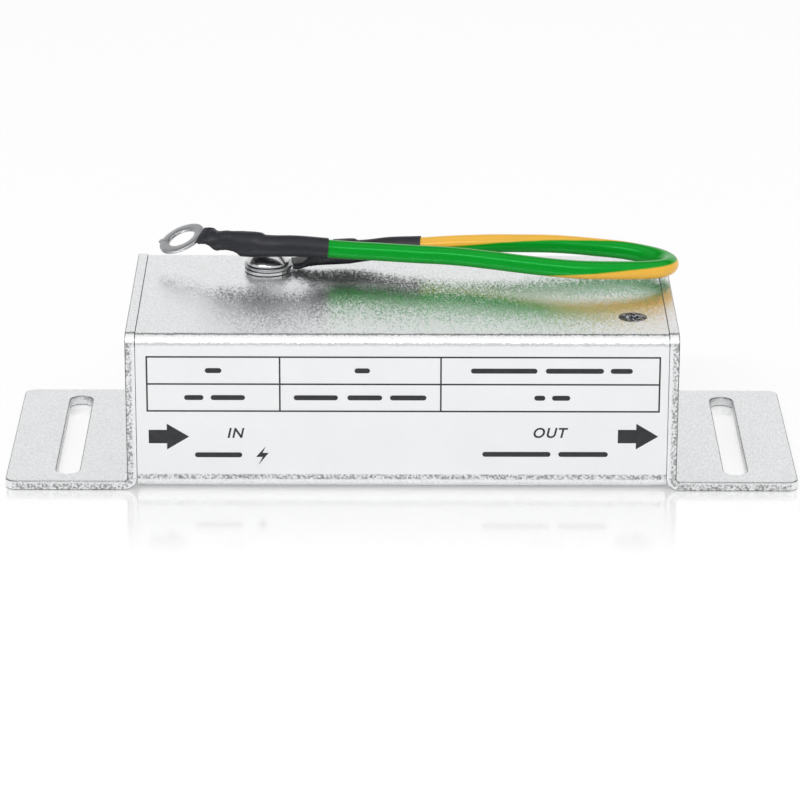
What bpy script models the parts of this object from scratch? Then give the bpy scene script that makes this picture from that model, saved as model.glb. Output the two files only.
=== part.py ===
# Ethernet surge protector: an extruded aluminium housing between two bent end plates whose
# feet carry the fixing slots, two shielded jacks on one circuit board, the surge parts
# between them, and a green and yellow earth lead held by the screw on top.
# +X runs from the inlet side to the outlet side, +Y to the back, +Z up. The origin is on the
# surface that the feet stand on, under the middle of the housing.

import math

import bmesh
import bpy
import numpy as np
from mathutils import Matrix, Vector

for old in list(bpy.data.objects):
    bpy.data.objects.remove(old, do_unlink=True)

mm = 0.001

# End plates with their feet
body_length = 100 * mm          # over the outer faces of the two end plates
body_depth = 48 * mm
body_height = 30 * mm
sheet = 1.8 * mm
bend_inner = 0.6 * mm
plate_corner = 2.3 * mm
foot_length = 22.3 * mm
foot_corner = 2.0 * mm
foot_slot_width = 4.3 * mm
foot_slot_margin = 3.8 * mm     # from the slot's ends to the foot's front and back edges
foot_slot_offset = 11.2 * mm    # from the end plate's outer face to the slot's centre line

# Housing between them
plate_proud = 0.25 * mm         # the plates stand this far outside the housing all round
housing_lift = 0.3 * mm
joint_gap = 0.25 * mm
housing_wall = 1.5 * mm
housing_corner = 2.1 * mm
housing_inner_corner = 0.8 * mm
lower_end_round = 1.0 * mm
channel_radius = 2.75 * mm      # screw channels in the four inner corners
channel_inset = 2.6 * mm
channel_slit = 1.4 * mm
rail_depth = 1.8 * mm
rail_thickness = 1.0 * mm

# Gaps between pieces that touch on the real product
seat = 0.15 * mm
slide = 0.25 * mm

# Circuit board
board_underside = 9.2 * mm
board_thickness = 1.6 * mm
board_end_gap = 0.8 * mm        # from the board's ends to the end plates

# Shielded jacks
jack_width = 16.0 * mm
jack_height = 13.4 * mm
jack_depth = 16.4 * mm
jack_recess = 0.3 * mm          # front of the jack behind the plate's outer face
shield_sheet = 0.35 * mm
shield_notch = 1.3 * mm
port_width = 11.9 * mm
port_height = 6.8 * mm
port_depth = 13.2 * mm
port_floor = 4.2 * mm           # above the jack's underside
latch_width = 6.4 * mm
latch_depth = 1.6 * mm
latch_tip_width = 3.6 * mm
latch_tip_depth = 1.2 * mm
contact_count = 8
contact_pitch = 1.02 * mm
contact_width = 0.42 * mm
contact_thickness = 0.3 * mm
contact_groove = 0.7 * mm
contact_front = 2.4 * mm        # behind the jack's front
contact_reach = 9.6 * mm
contact_drop = 3.4 * mm
contact_foot = 1.2 * mm

# Countersunk screws: eight in the end plates and one flush in the top
flat_head = 4.9 * mm
flat_head_height = 1.3 * mm
flat_head_rim = 0.15 * mm
flat_shank = 2.5 * mm
flat_length = 7.5 * mm
flush_screw_from_end = 8.0 * mm  # from the outlet end plate's outer face
flush_screw_from_front = 11.1 * mm

# Earth screw with its washer
earth_from_end = 24.8 * mm      # from the inlet end plate's outer face
earth_from_back = 10.5 * mm
earth_head = 7.6 * mm
earth_head_height = 2.3 * mm
earth_shank = 3.9 * mm
earth_length = 10.0 * mm
washer_outer = 8.8 * mm
washer_thickness = 0.5 * mm
post_flats = 6.0 * mm
support_post = 5.0 * mm
post_spigot = 2.4 * mm

# Ring lugs, curled from one strip each. Places are given from the earth screw's axis and
# from the housing's top.
lug_sheet = 0.6 * mm
lug_ring = 9.0 * mm
lug_hole = 5.2 * mm
lug_nub = 0.55 * mm             # stub of the strip's carrier, left on the free lug's ring
lug_nub_width = 0.9 * mm
lug_neck = 3.3 * mm
lug_bend_start = 4.5 * mm       # distances along the strip from the ring's centre
lug_curl_start = 5.7 * mm
lug_curl_end = 8.3 * mm
lug_flare_start = 11.2 * mm
lug_flare_end = 12.5 * mm
lug_end = 15.5 * mm
lug_wire_grip = 1.05 * mm       # radius of the curled strip's middle on the bare wire
lug_cover_grip = 1.6 * mm       # and on the lead's cover
lug_barrel_seam = 0.4 * mm
screw_lug_shift = 0.17 * mm     # the ring is drawn towards the lead on its screw
screw_lug_turn = 6.3            # degrees about the earth screw
screw_lug_bend = 1.5            # degrees
free_lug_bend = 12.2
free_lug_centre = (-16.15 * mm, 1.86 * mm, 5.47 * mm)
free_lug_along = (0.858, -0.437, 0.269)
free_lug_up = (0.377, 0.181, -0.909)

# Earth lead and the shrunk sleeves over its crimps
lead_diameter = 3.4 * mm
sleeve_gap = 0.17 * mm
sleeve_wall = 0.13 * mm
sleeve_length = 13.6 * mm       # along the lead, past the crimp
lead_route = [
    (22.0, 1.3, 3.9), (28.6, 0.4, 4.55), (34.1, -0.05, 5.05), (38.9, -0.05, 5.25),
    (42.7, 0.25, 5.25), (47.0, 0.5, 5.15), (53.4, 1.45, 4.75), (58.3, 1.65, 4.35),
    (62.7, 1.75, 3.9), (66.9, 1.5, 3.5), (70.5, 0.2, 3.25), (73.5, -2.2, 3.25),
    (75.1, -5.7, 3.35), (73.9, -9.0, 3.6), (71.0, -10.7, 3.75), (67.2, -11.6, 3.95),
    (62.7, -12.3, 4.2), (57.7, -12.5, 4.4), (52.2, -11.7, 4.6), (46.7, -10.2, 4.75),
    (40.2, -8.3, 4.95), (34.0, -6.7, 5.05), (27.2, -5.8, 5.12), (21.5, -4.6, 5.08),
    (13.8, -3.5, 5.17), (8.2, -3.9, 5.8), (4.2, -4.55, 6.2),
]
lead_samples = 60
lead_end_gap = 0.3 * mm

# Surge parts on the board
gas_tube_diameter = 5.0 * mm
gas_tube_length = 7.8 * mm
gas_tube_places = [(-20.0, -10.5), (-12.5, -10.5), (-5.0, -10.5), (2.5, -10.5)]
array_size = (5.0 * mm, 4.0 * mm, 1.6 * mm)
array_places = [(12.0, -14.0), (12.0, -7.0), (21.0, -14.0), (21.0, -7.0)]
clamp_size = (7.0 * mm, 6.0 * mm, 2.4 * mm)
clamp_places = [(-8.0, 10.5), (6.0, 10.5)]

# Sizes that follow from the ones above
flush_screw_at = (body_length / 2 - flush_screw_from_end, flush_screw_from_front - body_depth / 2)
earth_at = (earth_from_end - body_length / 2, body_depth / 2 - earth_from_back)
plate_inner_x = body_length / 2 - sheet
housing_half = plate_inner_x - joint_gap
housing_depth = body_depth - 2 * plate_proud
housing_top = body_height - plate_proud
housing_height = housing_top - housing_lift
inner_half_depth = housing_depth / 2 - housing_wall
inner_floor = housing_lift + housing_wall
inner_ceiling = housing_top - housing_wall
channel_y = inner_half_depth - channel_inset
channel_z = (inner_floor + channel_inset, inner_ceiling - channel_inset)
board_top = board_underside + board_thickness
jack_floor = board_top + seat
jack_front = body_length / 2 - jack_recess
jack_middle_z = jack_floor + jack_height / 2
flat_hole = flat_shank / 2 + slide
washer_z = housing_top + seat
lug_z = washer_z + washer_thickness + seat + lug_sheet / 2
earth_head_z = lug_z + lug_sheet / 2 + seat
top_at = Vector((*earth_at, housing_top))


def finish(name, colour, roughness, metallic):
    """A plain surface from an sRGB hex colour."""
    parts = [int(colour[i:i + 2], 16) / 255 for i in (0, 2, 4)]
    linear = [c / 12.92 if c <= 0.04045 else ((c + 0.055) / 1.055) ** 2.4 for c in parts]
    look = bpy.data.materials.new(name)
    look.use_nodes = True
    shader = look.node_tree.nodes["Principled BSDF"]
    shader.inputs["Base Color"].default_value = (*linear, 1)
    shader.inputs["Roughness"].default_value = roughness
    shader.inputs["Metallic"].default_value = metallic
    return look


def arc(centre, radius, start, end, steps):
    """Points on a circular arc, angles in degrees."""
    angles = np.radians(np.linspace(start, end, steps + 1))
    return [(centre[0] + radius * math.cos(a), centre[1] + radius * math.sin(a)) for a in angles]


def circle(radius, steps=24, centre=(0, 0)):
    return arc(centre, radius, 0, 360, steps)[:-1]


def polygon(flats, sides):
    """A regular polygon given by the distance across its flats."""
    return circle(flats / 2 / math.cos(math.pi / sides), sides)


def rounded_rectangle(width, height, radius, steps=5, centre=(0, 0)):
    points = []
    for sx, sy, start in ((1, 1, 0), (-1, 1, 90), (-1, -1, 180), (1, -1, 270)):
        corner = (centre[0] + sx * (width / 2 - radius), centre[1] + sy * (height / 2 - radius))
        points += arc(corner, radius, start, start + 90, steps)
    return points


def rectangle(x0, x1, y0, y1):
    return [(x0, y0), (x1, y0), (x1, y1), (x0, y1)]


def slot_outline(length, width, steps=8):
    """A slot along the second coordinate with half round ends."""
    half = (length - width) / 2
    return (arc((0, half), width / 2, 0, 180, steps)
            + arc((0, -half), width / 2, 180, 360, steps))


def strip_outline(path, thickness):
    """Outline of a strip whose middle follows a flat path, with mitred corners."""
    points = [Vector(p) for p in path]
    left, right = [], []
    for i, point in enumerate(points):
        before = (point - points[i - 1]).normalized() if i else None
        after = (points[i + 1] - point).normalized() if i < len(points) - 1 else None
        before, after = before or after, after or before
        normal = Vector((-before.y, before.x)) + Vector((-after.y, after.x))
        normal.normalize()
        reach = thickness / 2 / max(0.5, normal.dot(Vector((-after.y, after.x))))
        left.append(tuple(point + normal * reach))
        right.append(tuple(point - normal * reach))
    return left + right[::-1]


def along_x(x):
    """Frame whose outline lies in Y and Z and whose depth runs along X."""
    return Matrix(((0, 0, 1, x), (1, 0, 0, 0), (0, 1, 0, 0), (0, 0, 0, 1)))


def along_y(y):
    """Frame whose outline lies in X and Z and whose depth runs along Y."""
    return Matrix(((1, 0, 0, 0), (0, 0, 1, y), (0, 1, 0, 0), (0, 0, 0, 1)))


def along_z(z):
    return Matrix.Translation((0, 0, z))


def prism(outline, depth, frame):
    """A closed outline extruded along its frame's third axis."""
    shape = bmesh.new()
    face = shape.faces.new([shape.verts.new((u, v, 0)) for u, v in outline])
    raised = bmesh.ops.extrude_face_region(shape, geom=[face])
    moved = [g for g in raised["geom"] if isinstance(g, bmesh.types.BMVert)]
    bmesh.ops.translate(shape, verts=moved, vec=(0, 0, depth))
    bmesh.ops.transform(shape, matrix=frame, verts=shape.verts)
    bmesh.ops.recalc_face_normals(shape, faces=shape.faces)
    return shape


def turned(profile, frame, steps=20):
    """A closed body turned about its frame's Z axis from (radius, height) pairs that start
    and end on the axis."""
    shape = bmesh.new()
    verts = [shape.verts.new((r, 0, z)) for r, z in profile]
    edges = [shape.edges.new(pair) for pair in zip(verts, verts[1:])]
    bmesh.ops.spin(shape, geom=verts + edges, axis=(0, 0, 1), cent=(0, 0, 0),
                   angle=2 * math.pi, steps=steps, use_duplicate=False)
    bmesh.ops.remove_doubles(shape, verts=shape.verts, dist=1e-6)
    bmesh.ops.transform(shape, matrix=frame, verts=shape.verts)
    bmesh.ops.recalc_face_normals(shape, faces=shape.faces)
    return shape


def joined(shapes):
    """Several closed shapes in one mesh, used as one tool."""
    whole = bmesh.new()
    for shape in shapes:
        mesh = bpy.data.meshes.new("tool")
        shape.to_mesh(mesh)
        shape.free()
        whole.from_mesh(mesh)
        bpy.data.meshes.remove(mesh)
    return whole


def piece(name, shape, look, frame=None, smooth=40):
    """An object with a shape of its own, or one that shares another's mesh."""
    if isinstance(shape, bmesh.types.BMesh):
        mesh = bpy.data.meshes.new(name)
        shape.to_mesh(mesh)
        shape.free()
        mesh.shade_smooth()
        mesh.set_sharp_from_angle(angle=math.radians(smooth))
        mesh.materials.append(look)
    else:
        mesh = shape
    item = bpy.data.objects.new(name, mesh)
    bpy.context.collection.objects.link(item)
    if frame is not None:
        item.matrix_world = frame
    return item


def work(target, shape, operation):
    """Cut, join or trim a piece with a hidden tool."""
    mesh = bpy.data.meshes.new(target.name + "_tool")
    shape.to_mesh(mesh)
    shape.free()
    tool = bpy.data.objects.new(mesh.name, mesh)
    bpy.context.collection.objects.link(tool)
    tool.hide_render = True
    tool.display_type = "WIRE"
    step = target.modifiers.new(operation.lower(), "BOOLEAN")
    step.operation = operation
    step.object = tool
    return target


def settled(item):
    """The mesh that a piece has once its modifiers have run, for pieces that repeat."""
    bpy.context.view_layer.update()
    graph = bpy.context.evaluated_depsgraph_get()
    mesh = bpy.data.meshes.new_from_object(item.evaluated_get(graph))
    tools = [m.object for m in item.modifiers if m.type == "BOOLEAN"]
    for old in [item] + tools:
        bpy.data.objects.remove(old, do_unlink=True)
    return mesh


def smooth_curve(points, samples):
    """A natural cubic curve through the points, read at even steps of its length."""
    chord = np.r_[0, np.cumsum(np.linalg.norm(np.diff(points, axis=0), axis=1))]
    h = np.diff(chord)
    n = len(points)
    matrix = np.eye(n)
    right = np.zeros_like(points)
    for i in range(1, n - 1):
        matrix[i, i - 1:i + 2] = h[i - 1], 2 * (h[i - 1] + h[i]), h[i]
        right[i] = 6 * ((points[i + 1] - points[i]) / h[i] - (points[i] - points[i - 1]) / h[i - 1])
    bend = np.linalg.solve(matrix, right)
    fine = np.linspace(0, chord[-1], 1200)
    k = np.clip(np.searchsorted(chord, fine, side="right") - 1, 0, n - 2)
    step = h[k][:, None]
    ahead = (chord[k + 1] - fine)[:, None]
    past = (fine - chord[k])[:, None]
    curve = ((bend[k] * ahead ** 3 + bend[k + 1] * past ** 3) / (6 * step)
             + (points[k] / step - bend[k] * step / 6) * ahead
             + (points[k + 1] / step - bend[k + 1] * step / 6) * past)
    run = np.r_[0, np.cumsum(np.linalg.norm(np.diff(curve, axis=0), axis=1))]
    even = np.linspace(0, run[-1], samples)
    return np.column_stack([np.interp(even, run, curve[:, axis]) for axis in range(3)])


def rise(value, start, end):
    """A smooth step from 0 at start to 1 at end."""
    t = min(1, max(0, (value - start) / (end - start)))
    return t * t * (3 - 2 * t)


aluminium = finish("bead_blasted_aluminium", "d4d5d6", 0.38, 1.0)
black_steel = finish("blackened_steel", "4a4c50", 0.35, 1.0)
nickel = finish("nickel_plated_steel", "cfcdc8", 0.2, 1.0)
tin = finish("tinned_copper", "a8a9aa", 0.35, 1.0)
brass = finish("brass", "c9a860", 0.3, 1.0)
gold = finish("gilt_contact", "e0b860", 0.25, 1.0)
board_green = finish("solder_mask", "1f5a36", 0.4, 0.0)
jack_plastic = finish("black_moulded_plastic", "1e1e20", 0.45, 0.0)
chip_plastic = finish("moulding_compound", "28282a", 0.5, 0.0)
ceramic = finish("ceramic_and_metal_tube", "e6e0dc", 0.3, 0.0)
sleeve_black = finish("shrunk_sleeve", "2c2c31", 0.5, 0.0)
lead_green = finish("green_and_yellow_pvc", "0a9028", 0.35, 0.0)


# Housing

def flat_head_hole(depth):
    """Countersink and clearance hole, its mouth at height 0 and its end at -depth."""
    mouth = flat_head / 2 + seat
    cone = flat_head_height + seat
    return [(0, slide * 4), (mouth, slide * 4), (mouth, -flat_head_rim), (flat_hole, -cone),
            (flat_hole, -depth), (0, -depth)]


def housing():
    outline = rounded_rectangle(housing_depth, housing_height, housing_corner, 6,
                                (0, housing_lift + housing_height / 2))
    tube = piece("housing", prism(outline, 2 * housing_half, along_x(-housing_half)), aluminium)
    over = 2 * mm
    cavity = rounded_rectangle(2 * inner_half_depth, inner_ceiling - inner_floor,
                               housing_inner_corner, 2, (0, (inner_floor + inner_ceiling) / 2))
    through = 2 * (housing_half + over)
    work(tube, prism(cavity, through, along_x(-housing_half - over)), "DIFFERENCE")
    inside = []
    for side in (-1, 1):
        for z in channel_z:
            ring = circle(channel_radius, 20, (side * channel_y, z))
            inside.append(prism(ring, 2 * housing_half, along_x(-housing_half)))
        for low in (board_underside - seat - rail_thickness, board_top + seat):
            edge = side * (inner_half_depth - rail_depth)
            wall = side * (inner_half_depth + housing_wall / 2)
            rail = rectangle(min(edge, wall), max(edge, wall), low, low + rail_thickness)
            inside.append(prism(rail, 2 * housing_half, along_x(-housing_half)))
    work(tube, joined(inside), "UNION")
    cuts = []
    for side in (-1, 1):
        for z in channel_z:
            bore = circle(flat_shank / 2 + seat, 14, (side * channel_y, z))
            cuts.append(prism(bore, through, along_x(-housing_half - over)))
    work(tube, joined(cuts), "DIFFERENCE")
    work(tube, joined([channel_slit_tool(side, z) for side in (-1, 1) for z in channel_z]),
         "DIFFERENCE")
    work(tube, joined(top_holes() + [lower_end_tool(side) for side in (-1, 1)]), "DIFFERENCE")
    return tube


def channel_slit_tool(side, z):
    """A slit from a screw channel towards the middle of the housing."""
    inward = 1 if z < (inner_floor + inner_ceiling) / 2 else -1
    turn = math.atan2(inward, -side)
    reach = channel_radius + 0.4 * mm
    slit = [(u * math.cos(turn) - v * math.sin(turn) + side * channel_y,
             u * math.sin(turn) + v * math.cos(turn) + z)
            for u, v in rectangle(0, reach, -channel_slit / 2, channel_slit / 2)]
    return prism(slit, 2 * housing_half + 4 * mm, along_x(-housing_half - 2 * mm))


def top_holes():
    """The earth screw's clearance hole and the flush screw's countersink."""
    bore = circle(earth_shank / 2 + slide, 20, earth_at)
    earth = prism(bore, housing_wall + 2 * mm, along_z(inner_ceiling - mm))
    flush = turned(flat_head_hole(housing_wall + mm), Matrix.Translation((*flush_screw_at, housing_top)))
    return [earth, flush]


def lower_end_tool(side):
    """What rounds the housing's lower end corners off."""
    radius = lower_end_round
    centre = (side * (housing_half - radius), housing_lift + radius)
    start = 270 if side > 0 else 180
    curve = arc(centre, radius, start, start + 90, 5)
    past = mm / 2
    outer = (side * (housing_half + past), housing_lift - past)
    if side > 0:
        outline = curve + [(outer[0], centre[1]), outer, (centre[0], outer[1])]
    else:
        outline = curve + [(centre[0], outer[1]), outer, (outer[0], centre[1])]
    return prism(outline, body_depth + 2 * mm, along_y(-body_depth / 2 - mm))


# End plates, each bent outwards into its foot

def end_plate(name, side):
    inner = plate_inner_x
    outer = body_length / 2
    tip = outer + foot_length
    centre = (outer + bend_inner, sheet + bend_inner)
    section = ([(inner, body_height)] + arc(centre, bend_inner + sheet, 180, 270, 7)
               + [(tip, 0), (tip, sheet)] + arc(centre, bend_inner, 270, 180, 4)
               + [(outer, body_height)])
    section = [(side * x, z) for x, z in section]
    plate = piece(name, prism(section, body_depth, along_y(-body_depth / 2)), aluminium)
    over = 5 * mm
    tall = rounded_rectangle(body_depth, body_height + over, plate_corner, 6,
                             (0, (body_height - over) / 2))
    wide = 2 * (tip + over)
    work(plate, prism(tall, wide, along_x(-wide / 2)), "INTERSECT")
    flat = rounded_rectangle(2 * tip, body_depth, foot_corner, 6)
    work(plate, prism(flat, body_height + 2 * over, along_z(-over)), "INTERSECT")
    work(plate, joined(plate_cuts(side)), "DIFFERENCE")
    return plate


def plate_cuts(side):
    """The foot's slot, the jack's window and the four screw holes."""
    length = body_depth - 2 * foot_slot_margin
    slot_x = side * (body_length / 2 + foot_slot_offset)
    cuts = [prism(slot_outline(length, foot_slot_width), 3 * sheet,
                  Matrix.Translation((slot_x, 0, -sheet)))]
    window = rounded_rectangle(jack_width + 2 * slide, jack_height + 2 * slide, 0.5 * mm, 2,
                               (0, jack_middle_z))
    start = min(side * (plate_inner_x - mm), side * (body_length / 2 + mm))
    cuts.append(prism(window, sheet + 2 * mm, along_x(start)))
    for frame in end_screw_frames(side):
        cuts.append(turned(flat_head_hole(sheet + mm), frame, 16))
    return cuts


def end_screw_frames(side):
    """Frames on the plate's outer face whose Z axis points outwards."""
    turn = Matrix.Rotation(side * math.pi / 2, 4, "Y")
    return [Matrix.Translation((side * body_length / 2, y, z)) @ turn
            for y in (-channel_y, channel_y) for z in channel_z]


# Screws

def cross_recess(radius, depth, top):
    """A cross shaped recess of two bars."""
    arm = radius * 0.3
    outline = []
    for k in range(4):
        turn = math.radians(90 * k)
        for u, v in ((radius, -arm / 2), (radius, arm / 2), (arm / 2, arm / 2)):
            outline.append((u * math.cos(turn) - v * math.sin(turn),
                            u * math.sin(turn) + v * math.cos(turn)))
    return prism(outline, depth + mm, along_z(top - depth))


def flat_screw_mesh():
    head = flat_head / 2
    shank = flat_shank / 2
    tip = 0.5 * mm
    profile = [(0, 0), (head, 0), (head, -flat_head_rim), (shank, -flat_head_height),
               (shank, -flat_length + tip), (shank - tip, -flat_length), (0, -flat_length)]
    body = piece("flat_screw", turned(profile, Matrix.Identity(4), 16), black_steel)
    return settled(work(body, cross_recess(head * 0.62, 0.9 * mm, 0), "DIFFERENCE"))


def flat_screws():
    mesh = flat_screw_mesh()
    sink = 0.05 * mm
    for side, word in ((-1, "in"), (1, "out")):
        for k, frame in enumerate(end_screw_frames(side), 1):
            piece(f"end_screw_{word}_{k}", mesh, None, frame @ along_z(-sink))
    piece("flush_screw", mesh, None, Matrix.Translation((*flush_screw_at, housing_top - sink)))


def earth_screw():
    radius = earth_head / 2
    rim = 0.6 * mm
    dome = [(radius * math.sin(a), rim + (earth_head_height - rim) * math.cos(a))
            for a in np.radians(np.linspace(0, 90, 7))]
    shank = earth_shank / 2
    profile = (dome + [(radius, 0.2 * mm), (radius - 0.2 * mm, 0), (shank, 0),
                       (shank, -earth_length + 0.6 * mm), (shank - 0.6 * mm, -earth_length),
                       (0, -earth_length)])
    screw = piece("earth_screw", turned(profile, Matrix.Translation((*earth_at, earth_head_z)), 28),
                  nickel)
    recess = cross_recess(radius * 0.55, 1.5 * mm, earth_head_height)
    bmesh.ops.transform(recess, verts=recess.verts,
                        matrix=Matrix.Translation((*earth_at, earth_head_z)))
    return work(screw, recess, "DIFFERENCE")


def washer():
    ring = piece("earth_washer", prism(circle(washer_outer / 2, 28, earth_at), washer_thickness,
                                       along_z(washer_z)), nickel)
    bore = circle(earth_shank / 2 + slide, 20, earth_at)
    return work(ring, prism(bore, 4 * washer_thickness, along_z(washer_z - washer_thickness)),
                "DIFFERENCE")


# Posts that carry the two top screws down to the board

def post(name, outline, place, bore_radius, depth):
    low = board_top + seat
    high = inner_ceiling - seat
    at = Matrix.Translation((*place, 0))
    body = piece(name, prism(outline, high - low, at @ along_z(low)), brass)
    spigot = prism(circle(post_spigot / 2, 12), board_thickness + 2 * seat + mm,
                   at @ along_z(board_underside - seat))
    work(body, spigot, "UNION")
    bore = prism(circle(bore_radius, 16), depth + mm, at @ along_z(high - depth))
    return work(body, bore, "DIFFERENCE")


# Circuit board

def circuit_board():
    half = plate_inner_x - board_end_gap
    width = 2 * (inner_half_depth - slide)
    outline = rounded_rectangle(2 * half, width, 0.8 * mm, 2)
    board = piece("circuit_board", prism(outline, board_thickness, along_z(board_underside)),
                  board_green)
    holes = [prism(circle(post_spigot / 2 + slide, 12, place), 3 * board_thickness,
                   along_z(board_underside - board_thickness))
             for place in (earth_at, flush_screw_at)]
    return work(board, joined(holes), "DIFFERENCE")


# Jacks, modelled with their mouths at x = 0 facing -X and their undersides at z = 0

def jack_frame(side):
    """The jack's own frame moved to the inlet side, or turned round to the outlet side."""
    turn = Matrix.Identity(4) if side < 0 else Matrix.Rotation(math.pi, 4, "Z")
    return Matrix.Translation((side * jack_front, 0, jack_floor)) @ turn


def jack_shield(name, frame):
    half = jack_width / 2
    box = piece(name, prism(rectangle(-half, half, 0, jack_height), jack_depth, along_x(0)), tin,
                frame)
    inner = half - shield_sheet
    room = prism(rectangle(-inner, inner, -mm, jack_height - shield_sheet),
                 jack_depth - shield_sheet + mm, along_x(-mm))
    notch = prism(rectangle(-inner, inner, -mm, shield_notch), 4 * shield_sheet,
                  along_x(jack_depth - 2 * shield_sheet))
    for shape in (room, notch):
        tool = work(box, shape, "DIFFERENCE").modifiers[-1].object
        tool.parent = box
    return box


def port_outline():
    """The mouth of the port: the plug's room with the latch's two steps below it."""
    floor = port_floor
    step = floor - latch_depth
    tip = step - latch_tip_depth
    half = port_width / 2
    latch = latch_width / 2
    point = latch_tip_width / 2
    return [(-half, floor), (-latch, floor), (-latch, step), (-point, step), (-point, tip),
            (point, tip), (point, step), (latch, step), (latch, floor), (half, floor),
            (half, floor + port_height), (-half, floor + port_height)]


def contact_rows():
    first = -(contact_count - 1) / 2
    return [(first + k) * contact_pitch for k in range(contact_count)]


def jack_body(name, frame):
    half = jack_width / 2 - shield_sheet - seat
    top = jack_height - shield_sheet - seat
    depth = jack_depth - shield_sheet - seat
    block = piece(name, prism(rectangle(-half, half, 0, top), depth, along_x(0)), jack_plastic,
                  frame)
    tools = [prism(port_outline(), port_depth + mm, along_x(-mm))]
    grooves = []
    wide = contact_groove / 2
    back = depth - contact_room()
    for y in contact_rows():
        roof = contact_front - contact_room()
        grooves.append(prism(rectangle(y - wide, y + wide, port_floor + port_height - mm,
                                       top + mm), depth + mm - roof, along_x(roof)))
    tools.append(joined(grooves))
    tools.append(joined([prism(rectangle(y - wide, y + wide, -mm, top + 2 * mm), 2 * mm + depth
                               - back, along_x(back)) for y in contact_rows()]))
    for shape in tools:
        tool = work(block, shape, "DIFFERENCE").modifiers[-1].object
        tool.parent = block
    return block


def contact_room():
    """Half the room that a contact's strip needs to lie in."""
    return contact_thickness / 2 + slide


def contact_mesh():
    """One spring contact: its foot on the board, up the back, along the roof, then folded
    back down into the port."""
    top = jack_height - shield_sheet - seat - contact_thickness / 2 - slide
    back = jack_depth - shield_sheet - seat - contact_thickness / 2
    foot = back + contact_foot
    low = contact_thickness / 2
    fold = 0.55 * mm
    front = contact_front + contact_room()
    turn = [(front + fold - fold * math.sin(a), top - fold + fold * math.cos(a))
            for a in np.radians(np.linspace(0, 160, 5))]
    path = [(foot, low), (back + 0.25 * mm, low), (back, low + 0.25 * mm), (back, top - 0.4 * mm),
            (back - 0.4 * mm, top)] + turn + [(contact_reach, top - contact_drop)]
    shape = prism(strip_outline(path, contact_thickness), contact_width, along_y(-contact_width / 2))
    return shape


def jacks():
    spring = settled(piece("contact", contact_mesh(), gold))
    for side, word in ((-1, "in"), (1, "out")):
        frame = jack_frame(side)
        jack_shield(f"jack_shield_{word}", frame)
        jack_body(f"jack_body_{word}", frame)
        for k, y in enumerate(contact_rows(), 1):
            piece(f"contact_{word}_{k}", spring, None, frame @ Matrix.Translation((0, y, 0)))


# Surge parts

def gas_tubes():
    """Three-pole gas discharge tubes: end and middle electrodes brazed to two ceramic rings."""
    radius = gas_tube_diameter / 2
    waist = radius - 0.25 * mm
    half = gas_tube_length / 2
    cap = 1.0 * mm
    middle = 0.7 * mm
    profile = [(0, -half), (radius, -half), (radius, -half + cap), (waist, -half + cap),
               (waist, -middle), (radius, -middle), (radius, middle), (waist, middle),
               (waist, half - cap), (radius, half - cap), (radius, half), (0, half)]
    mesh = settled(piece("gas_tube", turned(profile, Matrix.Identity(4), 16), ceramic))
    lie = Matrix.Rotation(math.pi / 2, 4, "X")
    for k, (x, y) in enumerate(gas_tube_places, 1):
        place = Matrix.Translation((x * mm, y * mm, board_top + seat + radius))
        piece(f"gas_tube_{k}", mesh, None, place @ lie)


def chips(word, size, places):
    """Moulded packages whose sides draw in towards the top."""
    length, width, height = size
    shape = prism(rectangle(-length / 2, length / 2, -width / 2, width / 2), height, along_z(0))
    for vert in shape.verts:
        if vert.co.z > height / 2:
            vert.co.x *= 0.92
            vert.co.y *= 0.9
    mesh = settled(piece(word, shape, chip_plastic))
    for k, (x, y) in enumerate(places, 1):
        piece(f"{word}_{k}", mesh, None, Matrix.Translation((x * mm, y * mm, board_top + seat)))


# Ring lugs

def lug_bend_angle(u, bend):
    return math.radians(bend) * rise(u, lug_bend_start, lug_curl_start)


def lug_line(u, bend):
    """Where the strip's middle line has got to, u along it, once the neck is bent."""
    steps = 60
    x = z = 0
    for k in range(steps):
        angle = lug_bend_angle((k + 0.5) / steps * u, bend)
        x += math.cos(angle) * u / steps
        z += math.sin(angle) * u / steps
    return x, z


def lug_barrel_radius(u):
    """Radius of the curled strip's middle: tight on the bare wire, wider on the cover."""
    return lug_wire_grip + (lug_cover_grip - lug_wire_grip) * rise(u, lug_flare_start, lug_flare_end)


def lug_half_width(u):
    """Half the width of the flat strip, which widens late enough to stay inside its sleeve."""
    full = 2 * math.pi * lug_barrel_radius(u) - lug_barrel_seam
    return (lug_neck + (full - lug_neck) * rise(u, lug_curl_start, lug_curl_end) ** 3) / 2


def lug_section(u, v):
    """The strip's cross section once curled, v across it: how far to the side and how high."""
    curl = rise(u, lug_curl_start, lug_curl_end) / lug_barrel_radius(u)
    return (math.sin(curl * v) / curl, (1 - math.cos(curl * v)) / curl) if curl else (v, 0)


def lug_point(u, v, bend):
    """A point of the flat strip, u along and v across, after curling and bending."""
    side, lift = lug_section(u, v)
    angle = lug_bend_angle(u, bend)
    x, z = lug_line(u, bend)
    return x - lift * math.sin(angle), side, z + lift * math.cos(angle)


def lug_mouth_line(u, bend):
    """The centre line of the barrel's wide mouth, u along the strip."""
    angle = lug_bend_angle(u, bend)
    x, z = lug_line(u, bend)
    return Vector((x - lug_cover_grip * math.sin(angle), 0, z + lug_cover_grip * math.cos(angle)))


def lug_rows():
    """Distances along the strip at which its cross section is drawn."""
    return np.r_[np.linspace(lug_bend_start, lug_curl_start, 3),
                 np.linspace(lug_curl_start, lug_curl_end, 6)[1:], lug_flare_start,
                 np.linspace(lug_flare_start, lug_flare_end, 4)[1:], lug_end]


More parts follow.
